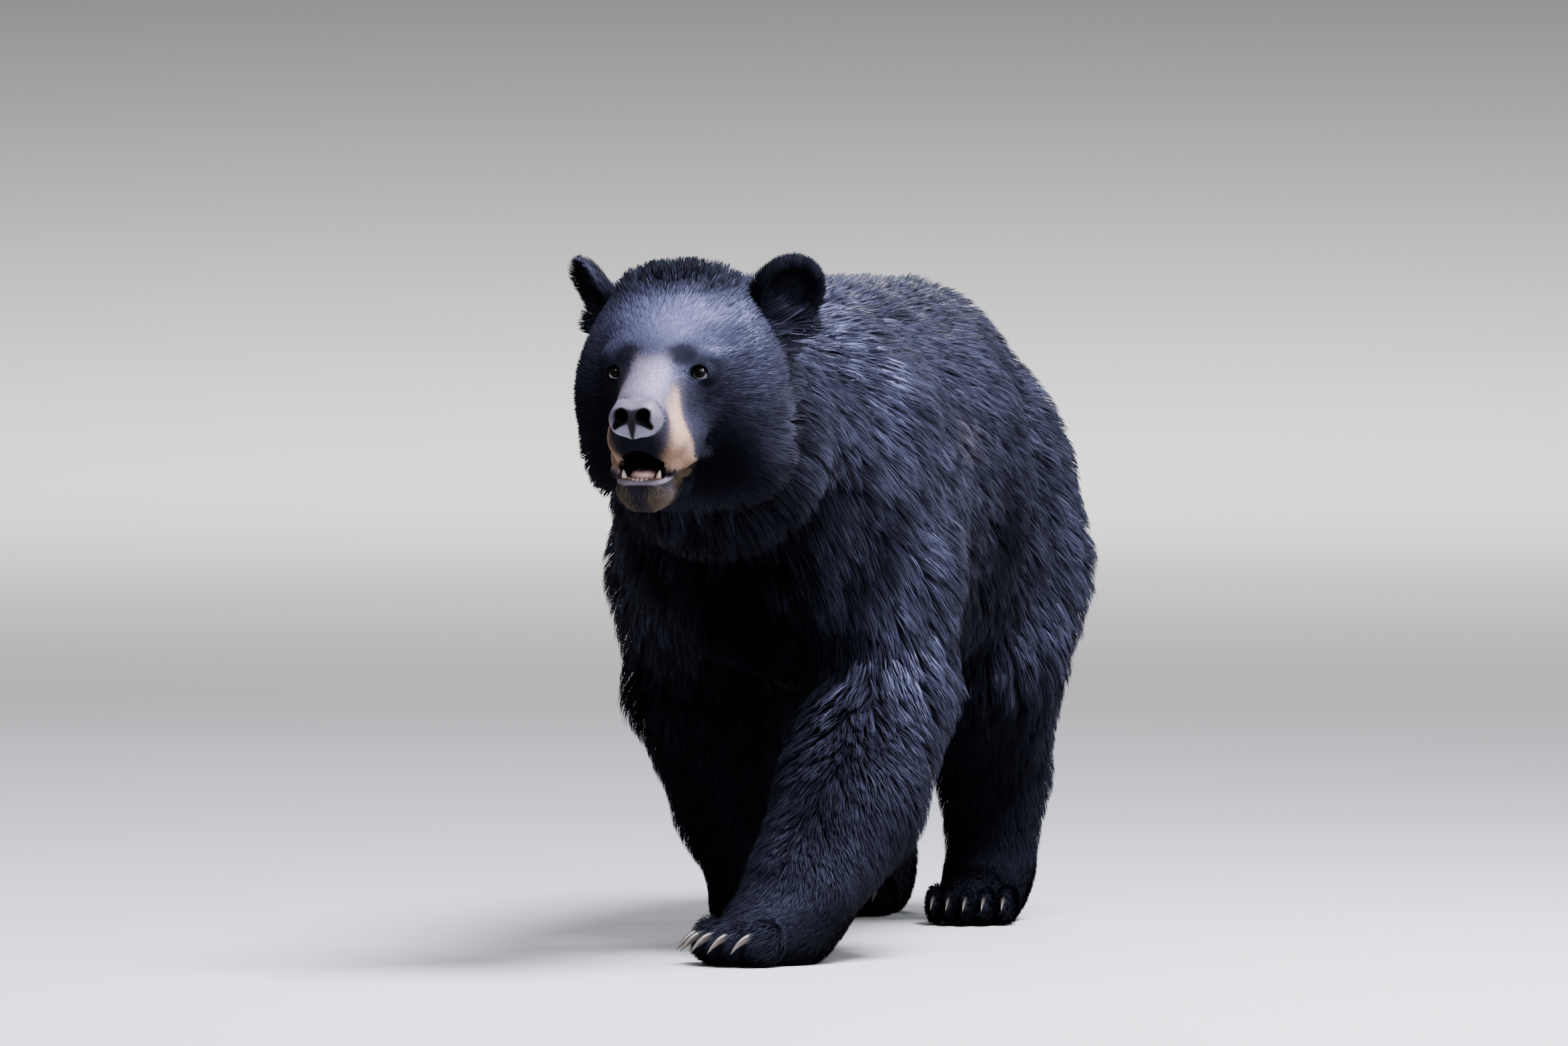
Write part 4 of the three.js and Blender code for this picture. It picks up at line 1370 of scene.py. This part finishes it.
def make_world():
    world = bpy.data.worlds.new("studio")
    world.use_nodes = True
    background = world.node_tree.nodes["Background"]
    background.inputs["Color"].default_value = (0.82, 0.85, 1.0, 1)
    background.inputs["Strength"].default_value = 0.12
    bpy.context.scene.world = world


# Each lamp: its place, where it points, its size, its power in watts and its colour.
LIGHTS = {
    "sky": ((1.7, -1.3, 4.3), (0, -0.3, 0.6), 2.0, 1050, (0.84, 0.85, 1.0)),
    "key": ((3.6, -4.2, 3.3), (0, -0.4, 0.6), 1.6, 190, (0.94, 0.95, 1.0)),
    "side": ((4.8, 2.6, 2.2), (0, -0.4, 0.6), 1.8, 110, (0.80, 0.84, 1.0)),
    "catch": ((0.6, -6.0, 5.2), (0, -0.9, 0.7), 1.8, 110, (0.90, 0.92, 1.0)),
    "rear": ((-3.0, 5.0, 4.2), (0, 0.2, 0.5), 2.0, 100, (0.76, 0.80, 1.0)),
    "backdrop": ((-6, 27, 16), (-6, 27, 0), 14, 9000, (1.0, 1.0, 1.0)),
}


def make_light(name, place, target, size, power, colour):
    lamp = bpy.data.lights.new(name, "AREA")
    lamp.shape = "DISK"
    lamp.size = size
    lamp.energy = power
    lamp.color = colour
    thing = add_object(name, lamp)
    thing.location = place
    thing.rotation_euler = Vector(np.subtract(target, place)).to_track_quat("-Z", "Y").to_euler()


# Angles in degrees, places in metres from the body's own middle, and the lens in millimetres.
CAMERA = {"azimuth": 14.0, "distance": 15.0, "height": 0.9, "aside": -0.0735, "pitch": -1.345, "lens": 261}


def make_camera():
    camera = add_object("camera", bpy.data.cameras.new("camera"))
    angle = math.radians(CAMERA["azimuth"])
    right, ahead, _ = turned(angle).T
    place = BODY * MM - ahead * CAMERA["distance"] + right * CAMERA["aside"]
    camera.location = (place[0], place[1], CAMERA["height"])
    camera.rotation_euler = (math.radians(90 + CAMERA["pitch"]), 0, angle)
    camera.data.lens = CAMERA["lens"]
    camera.data.sensor_width = 36
    bpy.context.scene.camera = camera


make_stage()
make_world()
for lamp_name, settings in LIGHTS.items():
    make_light(lamp_name, *settings)
make_camera()
make_flesh()
make_hard_parts()
